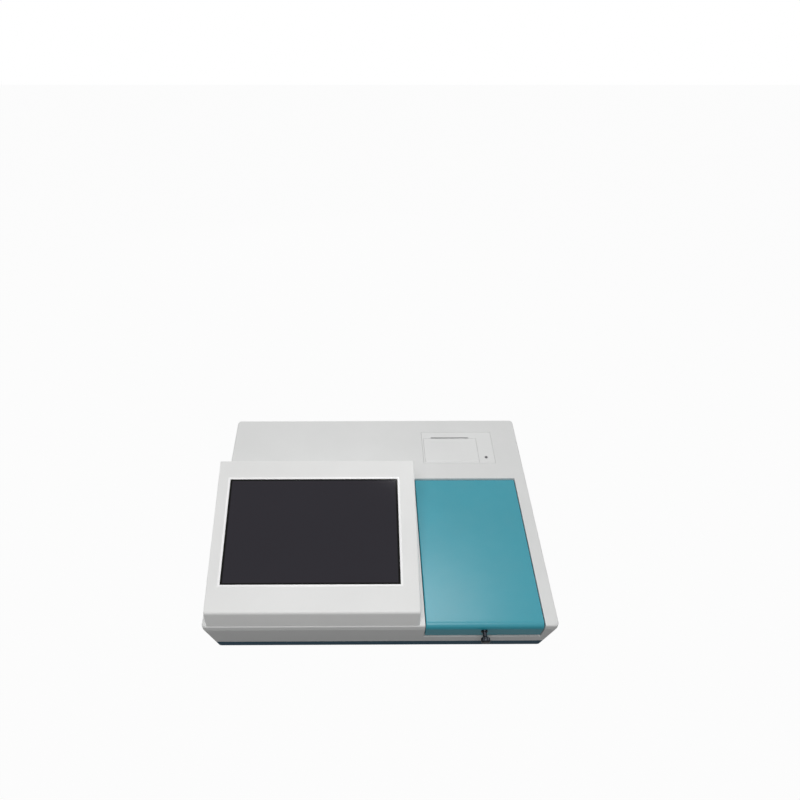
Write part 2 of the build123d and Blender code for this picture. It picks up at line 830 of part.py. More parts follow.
def make_lid():
    with BuildPart() as lid:
        add(lid_shell())
        for side, x in ((1, lid_xs[0]), (-1, lid_xs[1])):
            ends = sorted((x + side * 0.5, x + side * (lid_wall + ear_thickness)))
            rod_x(ends, hinge_y, hinge_z, ear_radius)
            rod_x((x - 20, x + 20), hinge_y, hinge_z, hinge_pin_radius + running_gap, mode=Mode.SUBTRACT)
        with Locations(knob_place):
            Cylinder(knob_screw_radius + press_gap, 20, mode=Mode.SUBTRACT)
    finish(lid, "lid")


def make_hinge_pins():
    with BuildPart() as hinge_pins:
        for side, x in ((1, bay_left - 2 * bay_wall), (-1, bay_right + 2 * bay_wall)):
            rod_x(sorted((x, x + side * (pin_length + 2 * bay_wall))), hinge_y, hinge_z, hinge_pin_radius)
    finish(hinge_pins, "hinge_pins")


knob_z = level(knob_height)
knob_y = front + knob_setback
# +Z of this place runs straight out of the sloping lip
knob_place = Location((bay_middle, knob_y, knob_z), (90 + knob_axis_angle, 0, 0))


def make_lid_knob():
    """A turned knob: a small collar, a slim stem and a rounded head."""
    base = (Align.CENTER, Align.CENTER, Align.MIN)
    with BuildPart() as lid_knob:
        with Locations((0, 0, knob_length - knob_head_length)):
            Cylinder(knob_head_radius, knob_head_length, align=base)
        crown = lid_knob.edges().filter_by(GeomType.CIRCLE).sort_by(Axis.Z)
        fillet(crown[-1], radius=knob_crown)
        chamfer(lid_knob.edges().filter_by(GeomType.CIRCLE).sort_by(Axis.Z)[0], length=knob_collar)
        Cylinder(knob_stem_radius, knob_length - 3, align=base)
        Cylinder(knob_stem_radius + knob_collar, knob_collar, align=base)
        Cylinder(knob_screw_radius + press_gap, 8, align=base, mode=Mode.SUBTRACT)
    placed = lid_knob.part.moved(knob_place)
    placed.label = "lid_knob"
    export_step(placed, "parts/lid_knob.step")


def make_knob_screw():
    inner = lid_wall + press_gap
    place = knob_place * Location((0, 0, -inner), (180, 0, 0))
    with BuildPart() as knob_screw:
        pan_screw(place, knob_screw_radius, inner + 7)
    finish(knob_screw, "knob_screw")


# ---------------------------------------------------------------- printer


panel_right = panel_left + panel_width
printer_xs = (panel_left - seat_gap, panel_right + seat_gap)
panel_us = (up_deck(panel_front), up_deck(panel_front) + panel_length)
printer_us = (panel_us[0] - seat_gap, panel_us[1] + seat_gap)
door_left = panel_left + door_margin
door_right = door_left + door_width
door_us = (panel_us[0] + door_margin, panel_us[0] + door_margin + door_length)
# the door's front edge is a full round on its hinge pin, so the gap before it stays thin
door_hinge_u = door_us[0] + panel_thickness
door_hinge_drop = panel_thickness
slot_x = door_left + door_width / 2
slot_us = (door_us[1], door_us[1] + slot_gap)
bucket_us = (door_us[0] - seat_gap, slot_us[1] + 6)
bucket_xs = (door_left - 2 * seat_gap, door_right + 2 * seat_gap)
bucket_drop = deck_z(panel_front + 22) - level(bucket_floor)
platen_u = slot_us[0] - platen_radius + 0.4
platen_n = -(panel_thickness + platen_radius + 1.5)
roll_u = (door_us[0] + door_us[1]) / 2 - 2.5
roll_n = -(panel_thickness + 4.0 + roll_radius)
button_x = panel_left + button_inset
button_u = panel_us[0] + button_setback


def make_printer_frame():
    """The printer's flush panel with the paper bucket below it."""
    outer = bucket_wall
    with BuildPart() as printer_frame:
        plane_block(deck, (panel_left, panel_right), panel_us, (-wall, 0))
        plane_block(deck, (panel_left - flange_width, panel_right + flange_width),
                    (panel_us[0] - flange_width, panel_us[1] + flange_width), (-wall - 2, -wall))
        plane_block(deck, (bucket_xs[0] - outer, bucket_xs[1] + outer),
                    (bucket_us[0] - outer, bucket_us[1] + outer), (-bucket_drop - outer, -wall))
        plane_block(deck, bucket_xs, bucket_us, (-bucket_drop, -wall), mode=Mode.SUBTRACT)
        # the door's opening, and the paper slot beyond it
        plane_block(deck, (door_left - seat_gap, door_right + seat_gap),
                    (bucket_us[0], door_us[1] + seat_gap), (-wall - 3, 1), mode=Mode.SUBTRACT)
        plane_block(deck, centred(slot_x, slot_width), (door_us[1] - 1, slot_us[1]), (-wall - 3, 1),
                    mode=Mode.SUBTRACT)
        # bearings of the door's pin and the roll's spindle
        pin_ends = (bucket_xs[0] - outer - 1, bucket_xs[1] + outer + 1)
        plane_rod_x(deck, pin_ends, door_hinge_u, -door_hinge_drop, door_pin_radius + press_gap,
                    mode=Mode.SUBTRACT)
        plane_rod_x(deck, pin_ends, roll_u, roll_n, spindle_radius + running_gap, mode=Mode.SUBTRACT)
        plane_rod(deck, button_x, button_u, (-wall - 3, 1), button_radius + seat_gap, mode=Mode.SUBTRACT)
        plane_rod(deck, button_x, button_u, (-wall - 3, -panel_thickness + 1), button_radius * 1.8,
                  mode=Mode.SUBTRACT)
    finish(printer_frame, "printer_frame")


def make_printer_door():
    """The flap over the paper, with a round hinge edge and two ears for the platen."""
    with BuildPart() as printer_door:
        plane_block(deck, (door_left, door_right), (door_hinge_u, door_us[1]), (-panel_thickness, 0))
        plane_rod_x(deck, (door_left, door_right), door_hinge_u, -door_hinge_drop, panel_thickness)
        plane_rod_x(deck, (door_left - 1, door_right + 1), door_hinge_u, -door_hinge_drop,
                    door_pin_radius + running_gap, mode=Mode.SUBTRACT)
        for side in (-1, 1):
            x = slot_x + side * (slot_width / 2 + 1.5)
            ends = sorted((x, x + side * 3))
            plane_block(deck, ends, centred(platen_u, 7), (platen_n, -panel_thickness))
            plane_rod_x(deck, ends, platen_u, platen_n, 3.5)
            plane_rod_x(deck, (x - 10, x + 10), platen_u, platen_n, platen_shaft_radius + running_gap,
                        mode=Mode.SUBTRACT)
    finish(printer_door, "printer_door")


def make_door_pin():
    with BuildPart() as door_pin:
        plane_rod_x(deck, (panel_left + seat_gap, bucket_xs[1] + bucket_wall), door_hinge_u,
                    -door_hinge_drop, door_pin_radius)
    finish(door_pin, "door_pin")


def make_platen_roller():
    with BuildPart() as platen_roller:
        plane_rod_x(deck, centred(slot_x, slot_width), platen_u, platen_n, platen_radius)
    finish(platen_roller, "platen_roller")


def make_platen_shaft():
    with BuildPart() as platen_shaft:
        plane_rod_x(deck, centred(slot_x, slot_width + 9), platen_u, platen_n, platen_shaft_radius)
        plane_rod_x(deck, centred(slot_x, slot_width), platen_u, platen_n, platen_shaft_radius + 1,
                    mode=Mode.SUBTRACT)
    finish(platen_shaft, "platen_shaft")


def make_print_head():
    """The thermal head and its heat spreader, on the bucket's rear wall."""
    reach = platen_u + platen_radius + 2 * seat_gap
    with BuildPart() as print_head:
        plane_block(deck, centred(slot_x, slot_width), (reach, reach + 1.5), (platen_n - 6, platen_n + 4))
        plane_block(deck, centred(slot_x, slot_width - 6), (reach + 1.5, bucket_us[1]),
                    (platen_n - 12, platen_n + 1))
    finish(print_head, "print_head")


def make_paper_roll():
    with BuildPart() as paper_roll:
        plane_rod_x(deck, centred(slot_x, roll_width), roll_u, roll_n, roll_radius)
        plane_rod_x(deck, centred(slot_x, roll_width + 2), roll_u, roll_n, core_radius, mode=Mode.SUBTRACT)
    finish(paper_roll, "paper_roll")


def make_roll_spindle():
    with BuildPart() as roll_spindle:
        plane_rod_x(deck, centred(slot_x, roll_width + 8), roll_u, roll_n, core_radius - press_gap)
        for side in (-1, 1):
            middle = slot_x + side * (roll_width / 2 + 3)
            plane_rod_x(deck, centred(middle, 2), roll_u, roll_n, core_radius + 3)
        plane_rod_x(deck, (bucket_xs[0] - bucket_wall, bucket_xs[1] + bucket_wall), roll_u, roll_n,
                    spindle_radius)
    finish(roll_spindle, "roll_spindle")


def make_feed_button():
    with BuildPart() as feed_button:
        plane_rod(deck, button_x, button_u, (-panel_thickness, 0.8), button_radius)
        top = feed_button.edges().filter_by(GeomType.CIRCLE).sort_by(Axis.Z)[-1]
        fillet(top, radius=0.5)
        plane_rod(deck, button_x, button_u, (-panel_thickness - 0.2, -panel_thickness + 0.7),
                  button_radius * 1.6)
    finish(feed_button, "feed_button")


def make_feed_switch():
    """The small board under the panel with the switch that the button presses."""
    top = -panel_thickness - 0.2 - button_travel - seat_gap
    under = -wall - 2 - 3.0
    with BuildPart() as feed_switch:
        plane_block(deck, centred(button_x, 16), centred(button_u + 6, 26), (under - board_thickness, under))
        plane_block(deck, centred(button_x, 6), centred(button_u, 6), (under, -wall - 2 - seat_gap))
        plane_rod(deck, button_x, button_u, (-wall - 2 - seat_gap, top), 1.6)
        for u in (button_u + 10, button_u + 16):
            plane_rod(deck, button_x, u, (under, -wall - 2), 2)
    finish(feed_switch, "feed_switch")


# ---------------------------------------------------------------- back panel


back_inner = back - wall
back_left = -case_width / 2 + back_margin
switch_x = back_left + switch_inset
inlet_x = back_left + inlet_inset
lan_x = back_left + lan_inset
usb_x = back_left + usb_inset
fan_x = back_left + fan_inset
back_panel_xs = (back_left, back_left + back_width)
back_panel_zs = (level(back_bottom), level(back_bottom + back_height))
back_screw_points = [
    (x, z)
    for x in (back_left + panel_lap / 2, back_left + back_width - panel_lap / 2)
    for z in (level(back_bottom) + 14, level(back_bottom + back_height) - 14)
]
port_z = level(port_height)
fan_z = level(port_height + 2)


def make_back_panel():
    with BuildPart() as back_panel:
        block(back_panel_xs, (back_inner - sheet, back_inner), back_panel_zs)
        for x, body in ((inlet_x, inlet_body), (switch_x, switch_body), (lan_x, lan_body), (usb_x, usb_body)):
            block(centred(x, body[0] + seat_gap), (back_inner - 2 * sheet, back),
                  centred(port_z, body[1] + seat_gap), mode=Mode.SUBTRACT)
        # fan grille: rings of holes
        with BuildSketch(Plane.XZ.offset(-back_inner)):
            with Locations((fan_x, fan_z)):
                Circle(1.6)
                for ring, count in ((5.2, 6), (10.4, 12), (15.6, 18)):
                    with PolarLocations(ring, count):
                        Circle(1.6)
        extrude(amount=2 * sheet, both=True, mode=Mode.SUBTRACT)
        for x, z in back_screw_points:
            rod_y(x, (back_inner - 2 * sheet, back), z, small_screw_radius + press_gap, mode=Mode.SUBTRACT)
        for x, z in port_screw_points:
            rod_y(x, (back_inner - 2 * sheet, back), z, small_screw_radius + press_gap, mode=Mode.SUBTRACT)
    finish(back_panel, "back_panel")


inlet_body = (27.0, 20.0)
inlet_flange = (49.0, 24.0)
inlet_cavity = (24.0, 16.0)
inlet_screw_offset = 20.0
fan_screw_offset = 16.0
inlet_screw_points = [(inlet_x + side * inlet_screw_offset, port_z) for side in (-1, 1)]
fan_screw_points = [
    (fan_x + side * fan_screw_offset, fan_z + rise * fan_screw_offset)
    for side in (-1, 1)
    for rise in (-1, 1)
]
port_screw_points = inlet_screw_points + fan_screw_points
switch_body = (13.0, 20.0)
lan_body = (16.0, 13.6)
usb_body = (13.4, 15.4)
inlet_flange_thickness = 2.4
switch_bezel = 1.6
rocker_width = 9.6
rocker_height = 16.0
rocker_tilt = 8.0
rocker_y = back_inner - 3.0


def port_face(sketch_y):
    """The upright plane at a distance from the front, looking out of the back."""
    return Plane(origin=(0, sketch_y, 0), x_dir=(1, 0, 0), z_dir=(0, -1, 0))


def make_power_inlet():
    """A three-pin mains inlet with its screw flange."""
    face_y = back_inner + inlet_flange_thickness
    with BuildPart() as power_inlet:
        block(centred(inlet_x, inlet_body[0]), (back_inner - 22, back_inner), centred(port_z, inlet_body[1]))
        with BuildSketch(port_face(face_y)):
            with Locations((inlet_x, port_z)):
                RectangleRounded(*inlet_flange, 4)
        extrude(amount=inlet_flange_thickness)
        with BuildSketch(port_face(face_y)) as cavity:
            with Locations((inlet_x, port_z)):
                Rectangle(*inlet_cavity)
            chamfer(cavity.vertices().group_by(Axis.Z)[-1], length=4.5)
        extrude(amount=16, mode=Mode.SUBTRACT)
        for x, z in ((0, 3.5), (-7, -2), (7, -2)):
            block(centred(inlet_x + x, 2), (face_y - 17, face_y - 3), centred(port_z + z, 4))
        for x, z in inlet_screw_points:
            rod_y(x, (back_inner - 1, face_y + 1), z, small_screw_radius + press_gap, mode=Mode.SUBTRACT)
    finish(power_inlet, "power_inlet")


def make_port_screws():
    """Screws of the inlet's flange and the fan, put in from outside."""
    with BuildPart() as port_screws:
        for x, z in inlet_screw_points:
            place = Location((x, back_inner + inlet_flange_thickness, z), (-90, 0, 0))
            pan_screw(place, small_screw_radius, 8)
        for x, z in fan_screw_points:
            pan_screw(Location((x, back_inner, z), (-90, 0, 0)), small_screw_radius, sheet + 8)
    finish(port_screws, "port_screws")


def make_panel_screws():
    with BuildPart() as panel_screws:
        for x, z in back_screw_points:
            pan_screw(Location((x, back, z), (-90, 0, 0)), small_screw_radius, wall + sheet + 2)
    finish(panel_screws, "panel_screws")


def make_switch_housing():
    face_y = back_inner + switch_bezel
    with BuildPart() as switch_housing:
        block(centred(switch_x, switch_body[0]), (back_inner - 16, back_inner),
              centred(port_z, switch_body[1]))
        with BuildSketch(port_face(face_y)):
            with Locations((switch_x, port_z)):
                RectangleRounded(switch_body[0] + 3, switch_body[1] + 4, 1.5)
        extrude(amount=switch_bezel)
        block(centred(switch_x, rocker_width + 0.6), (back_inner - 9, face_y + 1),
              centred(port_z, rocker_height + 1.4), mode=Mode.SUBTRACT)
        rod_x(centred(switch_x, rocker_width + 2.2), rocker_y, port_z, 1 + running_gap, mode=Mode.SUBTRACT)
    finish(switch_housing, "switch_housing")


def make_switch_rocker():
    """The rocker, at rest with its upper half out."""
    half = rocker_height / 2
    proud = back_inner + switch_bezel + 1.2 - rocker_y
    with BuildPart() as rocker:
        with BuildSketch(Plane.YZ.offset(switch_x - rocker_width / 2)):
            with BuildLine():
                Polyline((proud - 1.4, 0), (proud, half), (-1, half - 1.2), (-3.2, 0), (-1, -half + 1.2),
                         (proud, -half), close=True)
            make_face()
        extrude(amount=rocker_width)
        rod_x(centred(switch_x, rocker_width + 2), 0, 0, 1)
    tilt = Location((0, rocker_y, port_z)) * Location((0, 0, 0), (rocker_tilt, 0, 0))
    placed = rocker.part.moved(tilt)
    placed.label = "switch_rocker"
    export_step(placed, "parts/switch_rocker.step")


def make_lan_port():
    with BuildPart() as lan_port:
        block(centred(lan_x, lan_body[0]), (back_inner - 17, back_inner + 0.6), centred(port_z, lan_body[1]))
        block(centred(lan_x, 11.8), (back_inner - 11, back_inner + 1), centred(port_z + 0.4, 7.4),
              mode=Mode.SUBTRACT)
        block(centred(lan_x, 6), (back_inner - 11, back_inner + 1), centred(port_z - 4.2, 3),
              mode=Mode.SUBTRACT)
    finish(lan_port, "lan_port")


def make_usb_ports():
    with BuildPart() as usb_ports:
        block(centred(usb_x, usb_body[0]), (back_inner - 15, back_inner + 0.6), centred(port_z, usb_body[1]))
        for z in (-3.6, 3.6):
            block(centred(usb_x, 12), (back_inner - 10, back_inner + 1), centred(port_z + z, 5.0),
                  mode=Mode.SUBTRACT)
            block(centred(usb_x, 10.6), (back_inner - 10, back_inner - 1.2),
                  (port_z + z + 0.3, port_z + z + 2.0))
    finish(usb_ports, "usb_ports")


def make_fan_frame():
    with BuildPart() as fan_frame:
        with BuildSketch(port_face(back_inner - sheet)):
            with Locations((fan_x, fan_z)):
                RectangleRounded(fan_size, fan_size, 3)
                Circle(fan_size / 2 - 1.4, mode=Mode.SUBTRACT)
                with GridLocations(2 * fan_screw_offset, 2 * fan_screw_offset, 2, 2):
                    Circle(small_screw_radius + press_gap, mode=Mode.SUBTRACT)
        extrude(amount=fan_thickness)
        with BuildSketch(port_face(back_inner - sheet - fan_thickness + 1.5)):
            with Locations((fan_x, fan_z)):
                Circle(9)
                with PolarLocations(0, 4, 45):
                    with Locations((fan_size / 4, 0)):
                        Rectangle(fan_size / 2, 2)
                Circle(fan_size / 2, mode=Mode.INTERSECT)
        extrude(amount=1.5)
        rod_y(fan_x, (back_inner - sheet - fan_thickness + 1.5, back_inner - sheet - 3), fan_z, 1)
    finish(fan_frame, "fan_frame")


def make_fan_rotor():
    near = back_inner - sheet - fan_thickness + 1.5 + seat_gap
    far = back_inner - sheet - 1
    with BuildPart() as fan_rotor:
        rod_y(fan_x, (near, far), fan_z, 8.5)
        for turn in range(7):
            place = Location((fan_x, (near + far) / 2, fan_z)) * Location((0, 0, 0), (0, turn * 360 / 7, 0))
            with Locations(place * Location((12.4, 0, 0), (38, 0, 0))):
                Box(9.6, 1, 7.4)
        rod_y(fan_x, (near - 1, far - 1.5), fan_z, 1 + running_gap, mode=Mode.SUBTRACT)
    finish(fan_rotor, "fan_rotor")


# ---------------------------------------------------------------- inside the base


floor = ground + wall
main_board_x = -case_width / 2 + main_board_margin + main_board_width / 2
board_xs = centred(main_board_x, main_board_width)
board_ys = (front + main_board_front, front + main_board_front + main_board_length)
board_z = floor + board_standoff
supply_left = -case_width / 2 + supply_margin
supply_xs = (supply_left, supply_left + supply_width)
supply_ys = (back - supply_setback - supply_length, back - supply_setback)


def make_standoffs():
    corners = [(x, y) for x in (board_xs[0] + 5, board_xs[1] - 5) for y in (board_ys[0] + 5, board_ys[1] - 5)]
    with BuildPart() as board_standoffs:
        with BuildSketch(Plane.XY.offset(floor)):
            with Locations(*corners):
                RegularPolygon(3.2, 6)
        extrude(amount=board_standoff)
    finish(board_standoffs, "board_standoffs")


def make_main_board():
    top = board_z + board_thickness
    with BuildPart() as main_board:
        block(board_xs, board_ys, (board_z, top))
        for x, y, width, length, height in (
            (-38, 34, 52, 8, 9), (30, 40, 30, 9, 9), (-60, -10, 10, 10, 14), (-48, -10, 10, 10, 14),
            (48, 8, 24, 24, 3), (60, -34, 10, 26, 8), (-30, -38, 40, 6, 7), (20, -30, 18, 18, 2.4),
        ):
            middle = (main_board_x + x, sum(board_ys) / 2 + y)
            block(centred(middle[0], width), centred(middle[1], length), (top, top + height))
    finish(main_board, "main_board")


def make_heat_sink():
    top = board_z + board_thickness
    with BuildPart() as heat_sink:
        middle = (main_board_x, sum(board_ys) / 2)
        block(centred(middle[0], 32), centred(middle[1], 32), (top, top + 3))
        for step in range(7):
            block(centred(middle[0] - 15 + step * 5, 1.2), centred(middle[1], 32), (top + 3, top + 13))
    finish(heat_sink, "heat_sink")


def make_power_supply():
    with BuildPart() as power_supply:
        block(supply_xs, supply_ys, (floor, floor + supply_height))
        with Locations(((supply_xs[0] + supply_xs[1]) / 2, sum(supply_ys) / 2, floor + supply_height)):
            with GridLocations(0, 7, 1, 10):
                Box(supply_width - 24, 2.5, 3, mode=Mode.SUBTRACT)
        for x in (supply_xs[0] - 5, supply_xs[1] + 5):
            block(centred(x, 10), (supply_ys[0] + 8, supply_ys[0] + 22), (floor, floor + 2))
            block(centred(x, 10), (supply_ys[1] - 22, supply_ys[1] - 8), (floor, floor + 2))
    finish(power_supply, "power_supply")


# ---------------------------------------------------------------- make every piece


for make in (
    make_base_tray, make_feet, make_case_screws, make_housing, make_screen_pod, make_pod_screws,
    make_touch_glass, make_lcd_panel, make_lcd_bracket, make_display_board, make_sample_bay, make_lid_pads,
    make_guide_rods, make_rod_support, make_tray_motor, make_motor_screws, make_lead_screw, make_tray_nut,
    make_tray_bushings, make_test_tray, make_read_head_cover, make_read_head_board, make_lenses, make_lid,
    make_hinge_pins, make_lid_knob, make_knob_screw, make_printer_frame, make_printer_door, make_door_pin,
    make_platen_roller, make_platen_shaft, make_print_head, make_paper_roll, make_roll_spindle,
    make_feed_button, make_feed_switch, make_back_panel, make_panel_screws, make_power_inlet,
    make_port_screws, make_switch_housing, make_switch_rocker, make_lan_port, make_usb_ports,
    make_fan_frame, make_fan_rotor, make_standoffs, make_main_board, make_heat_sink, make_power_supply,
):
    make()
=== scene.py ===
# %% [markdown]
# # A bench reader for rapid tests
#
# This lesson dresses a finished CAD model of a small laboratory instrument: a white wedge-shaped
# case with a raised screen, a teal lid over a motorised tray and a small paper printer. The CAD
# model keeps the shapes and the places. Blender adds what a camera sees: paint, plastic, glass,
# metal, and the fine parts that CAD leaves plain.
#
# Everything is in metres and in the frame of the CAD model, so nothing has to be fitted by eye.

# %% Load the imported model
import json
import math

import bmesh
import bpy
from mathutils import Matrix, Vector


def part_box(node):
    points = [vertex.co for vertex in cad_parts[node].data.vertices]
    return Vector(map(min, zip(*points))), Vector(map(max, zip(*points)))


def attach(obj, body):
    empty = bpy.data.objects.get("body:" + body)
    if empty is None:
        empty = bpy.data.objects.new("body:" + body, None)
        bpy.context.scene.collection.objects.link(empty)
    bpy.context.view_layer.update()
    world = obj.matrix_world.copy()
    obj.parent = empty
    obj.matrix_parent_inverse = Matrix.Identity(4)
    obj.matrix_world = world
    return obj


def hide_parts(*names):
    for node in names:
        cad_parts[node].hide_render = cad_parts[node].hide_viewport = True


mm = 0.001
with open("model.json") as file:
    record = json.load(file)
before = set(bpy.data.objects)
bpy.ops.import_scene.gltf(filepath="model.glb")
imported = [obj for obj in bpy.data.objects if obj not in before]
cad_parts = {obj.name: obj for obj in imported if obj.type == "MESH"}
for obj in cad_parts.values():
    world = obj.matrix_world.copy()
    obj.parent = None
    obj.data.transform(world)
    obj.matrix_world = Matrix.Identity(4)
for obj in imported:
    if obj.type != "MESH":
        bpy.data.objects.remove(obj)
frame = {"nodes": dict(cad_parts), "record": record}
nodes = frame["nodes"]
slot_of = {part["node"]: part["material_slot"] for part in frame["record"]["subparts"]}
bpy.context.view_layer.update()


def box_size(node):
    """Width, depth and height of a CAD node."""
    low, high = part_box(node)
    return high - low


def box_middle(node):
    """The middle of a CAD node's box."""
    low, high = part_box(node)
    return (low + high) / 2


# %% [markdown]
# ## The camera
#
# A photograph is a pinhole view, and a pinhole has only a few numbers: where it stands, how it is
# turned, how long its focal length is and which pixel lies straight ahead. They were fitted to the
# corners of the case, the screen and the lid, so the render and the photograph lie on each other.
# The pixel straight ahead isn't the middle of the picture, because the picture was cropped. The
# camera's shift does the same as that crop, without turning the camera.

# %% Camera
photo_size = 800
focal_pixels = 575.0
centre_pixel = (363.93, 494.26)
camera_place = Vector((-0.02262, -0.55743, 0.65122))
pitch, yaw, roll = (math.radians(angle) for angle in (43.59, 0.36, -0.07))
sensor_mm = 36.0


def make_camera():
    """A camera that looks along the fitted direction, with the photograph's crop as its shift."""
    forward = Vector((math.sin(yaw) * math.cos(pitch), math.cos(yaw) * math.cos(pitch), -math.sin(pitch)))
    level_right = Vector((math.cos(yaw), -math.sin(yaw), 0))
    level_down = forward.cross(level_right)
    right = math.cos(roll) * level_right + math.sin(roll) * level_down
    down = math.cos(roll) * level_down - math.sin(roll) * level_right
    data = bpy.data.cameras.new("camera")
    data.sensor_width = sensor_mm
    data.lens = sensor_mm * focal_pixels / photo_size
    data.shift_x = 0.5 - centre_pixel[0] / photo_size
    data.shift_y = centre_pixel[1] / photo_size - 0.5
    camera = bpy.data.objects.new("camera", data)
    turned = Matrix((right, -down, -forward)).transposed()
    camera.matrix_world = Matrix.Translation(camera_place) @ turned.to_4x4()
    bpy.context.scene.collection.objects.link(camera)
    bpy.context.scene.camera = camera
    return camera


camera = make_camera()
print("lens", round(camera.data.lens, 2), "mm")
print("shift", round(camera.data.shift_x, 4), round(camera.data.shift_y, 4))

# %% [markdown]
# ## Helpers for node trees
#
# A node tree is easier to read in code when each node is one call that says what feeds it. The
# helper below makes a node, sets its options and fills its sockets: a socket is linked, and any
# other value is typed in. A group gets its named sockets the same way, so that one effect can be
# placed in many materials with other values.

# %% Node helpers


def add_node(tree, kind, inputs=None, **options):
    """Adds a node, sets its options and fills its inputs by name or number."""
    node = tree.nodes.new(kind)
    for option, value in options.items():
        setattr(node, option, value)
    for key, value in (inputs or {}).items():
        if isinstance(value, bpy.types.NodeSocket):
            tree.links.new(value, node.inputs[key])
        else:
            node.inputs[key].default_value = value
    return node


def calculate(tree, operation, first, second=0.0, third=0.0, clamp=False):
    """One step of arithmetic, as a socket."""
    inputs = {0: first, 1: second, 2: third}
    return add_node(tree, "ShaderNodeMath", inputs, operation=operation, use_clamp=clamp).outputs[0]


def mix_colour(tree, share, first, second, blend="MIX"):
    """Two colours mixed by a share, as a socket."""
    node = add_node(tree, "ShaderNodeMix", {"Factor": share}, data_type="RGBA", blend_type=blend)
    for socket, value in ((node.inputs[6], first), (node.inputs[7], second)):
        if isinstance(value, bpy.types.NodeSocket):
            tree.links.new(value, socket)
        else:
            socket.default_value = (*value[:3], 1.0)
    return node.outputs[2]


def vector(tree, x=0.0, y=0.0, z=0.0):
    """Three values as one vector socket."""
    return add_node(tree, "ShaderNodeCombineXYZ", {0: x, 1: y, 2: z}).outputs[0]


def split(tree, value):
    """The three values of a vector socket."""
    return add_node(tree, "ShaderNodeSeparateXYZ", {0: value}).outputs


def object_place(tree):
    """Where a point of the surface is, in metres."""
    return add_node(tree, "ShaderNodeTexCoord").outputs["Object"]


def spread(tree, value, low, high):
    """A value between 0 and 1 stretched over another range."""
    return add_node(tree, "ShaderNodeMapRange", {"Value": value, "To Min": low, "To Max": high}).outputs[0]


def new_group(kind, name, inputs, outputs):
    """An empty group with named sockets, and its first and last node."""
    tree = bpy.data.node_groups.new(name, kind)
    for label, socket_type, value in inputs:
        socket = tree.interface.new_socket(label, in_out="INPUT", socket_type="NodeSocket" + socket_type)
        socket.default_value = value
    for label, socket_type in outputs:
        tree.interface.new_socket(label, in_out="OUTPUT", socket_type="NodeSocket" + socket_type)
    return tree, tree.nodes.new("NodeGroupInput"), tree.nodes.new("NodeGroupOutput")


# %% [markdown]
# ## Floor, background and light
#
# The photograph is a product picture on plain white. The white isn't light: it is a colour that
# only the camera, mirrors and glass see, through Light Path. The floor does the same, but keeps a
# little of its own shading for the instrument's shadow, and shows in glossy surfaces as a grey, as
# the dark underside of the lid's lip and the dark knob ask for.
#
# What lights the instrument is a weak sky and soft boxes. The key lamp stands in front and high, so
# the sloping pod is the brightest face and the walls that draw in under the shoulder are dark. A
# small lamp overhead is there for its reflection, the highlight on the lid's front. Weak ones at
# the back and the sides keep those readable. A colour renders about as it is written.

# %% Background


def white_share(tree, mirrored):
    """1 for rays from the camera or through glass, a share for glossy rays, 0 for all others."""
    path = add_node(tree, "ShaderNodeLightPath")
    glossy = calculate(tree, "MULTIPLY", path.outputs["Is Glossy Ray"], mirrored)
    seen = calculate(tree, "MAXIMUM", path.outputs["Is Camera Ray"], glossy)
    return calculate(tree, "MAXIMUM", seen, path.outputs["Is Transmission Ray"])


def make_world(strength):
    """A grey sky that looks white to the camera and in reflections."""
    world = bpy.data.worlds.new("studio")
    world.use_nodes = True
    bpy.context.scene.world = world
    tree = world.node_tree
    tree.nodes.clear()
    sky = add_node(tree, "ShaderNodeBackground", {"Color": (1, 1, 1, 1), "Strength": strength})
    white = add_node(tree, "ShaderNodeBackground", {"Color": (1, 1, 1, 1), "Strength": 1.0})
    share = white_share(tree, 1.0)
    mixed = add_node(tree, "ShaderNodeMixShader", {0: share, 1: sky.outputs[0], 2: white.outputs[0]})
    add_node(tree, "ShaderNodeOutputWorld", {"Surface": mixed.outputs[0]})


sky_strength = 0.13
make_world(sky_strength)
bpy.context.scene.view_settings.view_transform = "Standard"
print("sky strength", sky_strength)

# %% Floor
floor_grey = (0.18, 0.18, 0.18)


def make_floor(size, shadow_share, mirrored):
    """A pale floor that is white to the camera, apart from a share of its own shading."""
    mesh = bpy.data.meshes.new("floor")
    corners = [(x * size / 2, y * size / 2, 0) for x, y in ((-1, -1), (1, -1), (1, 1), (-1, 1))]
    mesh.from_pydata(corners, [], [(0, 1, 2, 3)])
    floor = bpy.data.objects.new("floor", mesh)
    bpy.context.scene.collection.objects.link(floor)
    material = bpy.data.materials.new("floor")
    material.use_nodes = True
    tree = material.node_tree
    tree.nodes.clear()
    matt = add_node(tree, "ShaderNodeBsdfDiffuse", {"Color": (*floor_grey, 1)})
    white = add_node(tree, "ShaderNodeEmission", {"Color": (1, 1, 1, 1), "Strength": 1.0})
    share = calculate(tree, "MULTIPLY", white_share(tree, mirrored), 1 - shadow_share)
    mixed = add_node(tree, "ShaderNodeMixShader", {0: share, 1: matt.outputs[0], 2: white.outputs[0]})
    add_node(tree, "ShaderNodeOutputMaterial", {"Surface": mixed.outputs[0]})
    mesh.materials.append(material)


floor_size = 8.0
shadow_share = 0.03
mirrored_floor = 0.22
make_floor(floor_size, shadow_share, mirrored_floor)
print("share of the floor's own shading", shadow_share)

# %% Soft boxes


def soft_box(name, place, aim, size, watts):
    """A square lamp that faces a point."""
    data = bpy.data.lights.new(name, "AREA")
    data.size = size
    data.energy = watts
    lamp = bpy.data.objects.new(name, data)
    lamp.location = place
    lamp.visible_camera = False
    lamp.rotation_euler = (Vector(aim) - Vector(place)).to_track_quat("-Z", "Y").to_euler()
    bpy.context.scene.collection.objects.link(lamp)
    print(name, watts, "W")


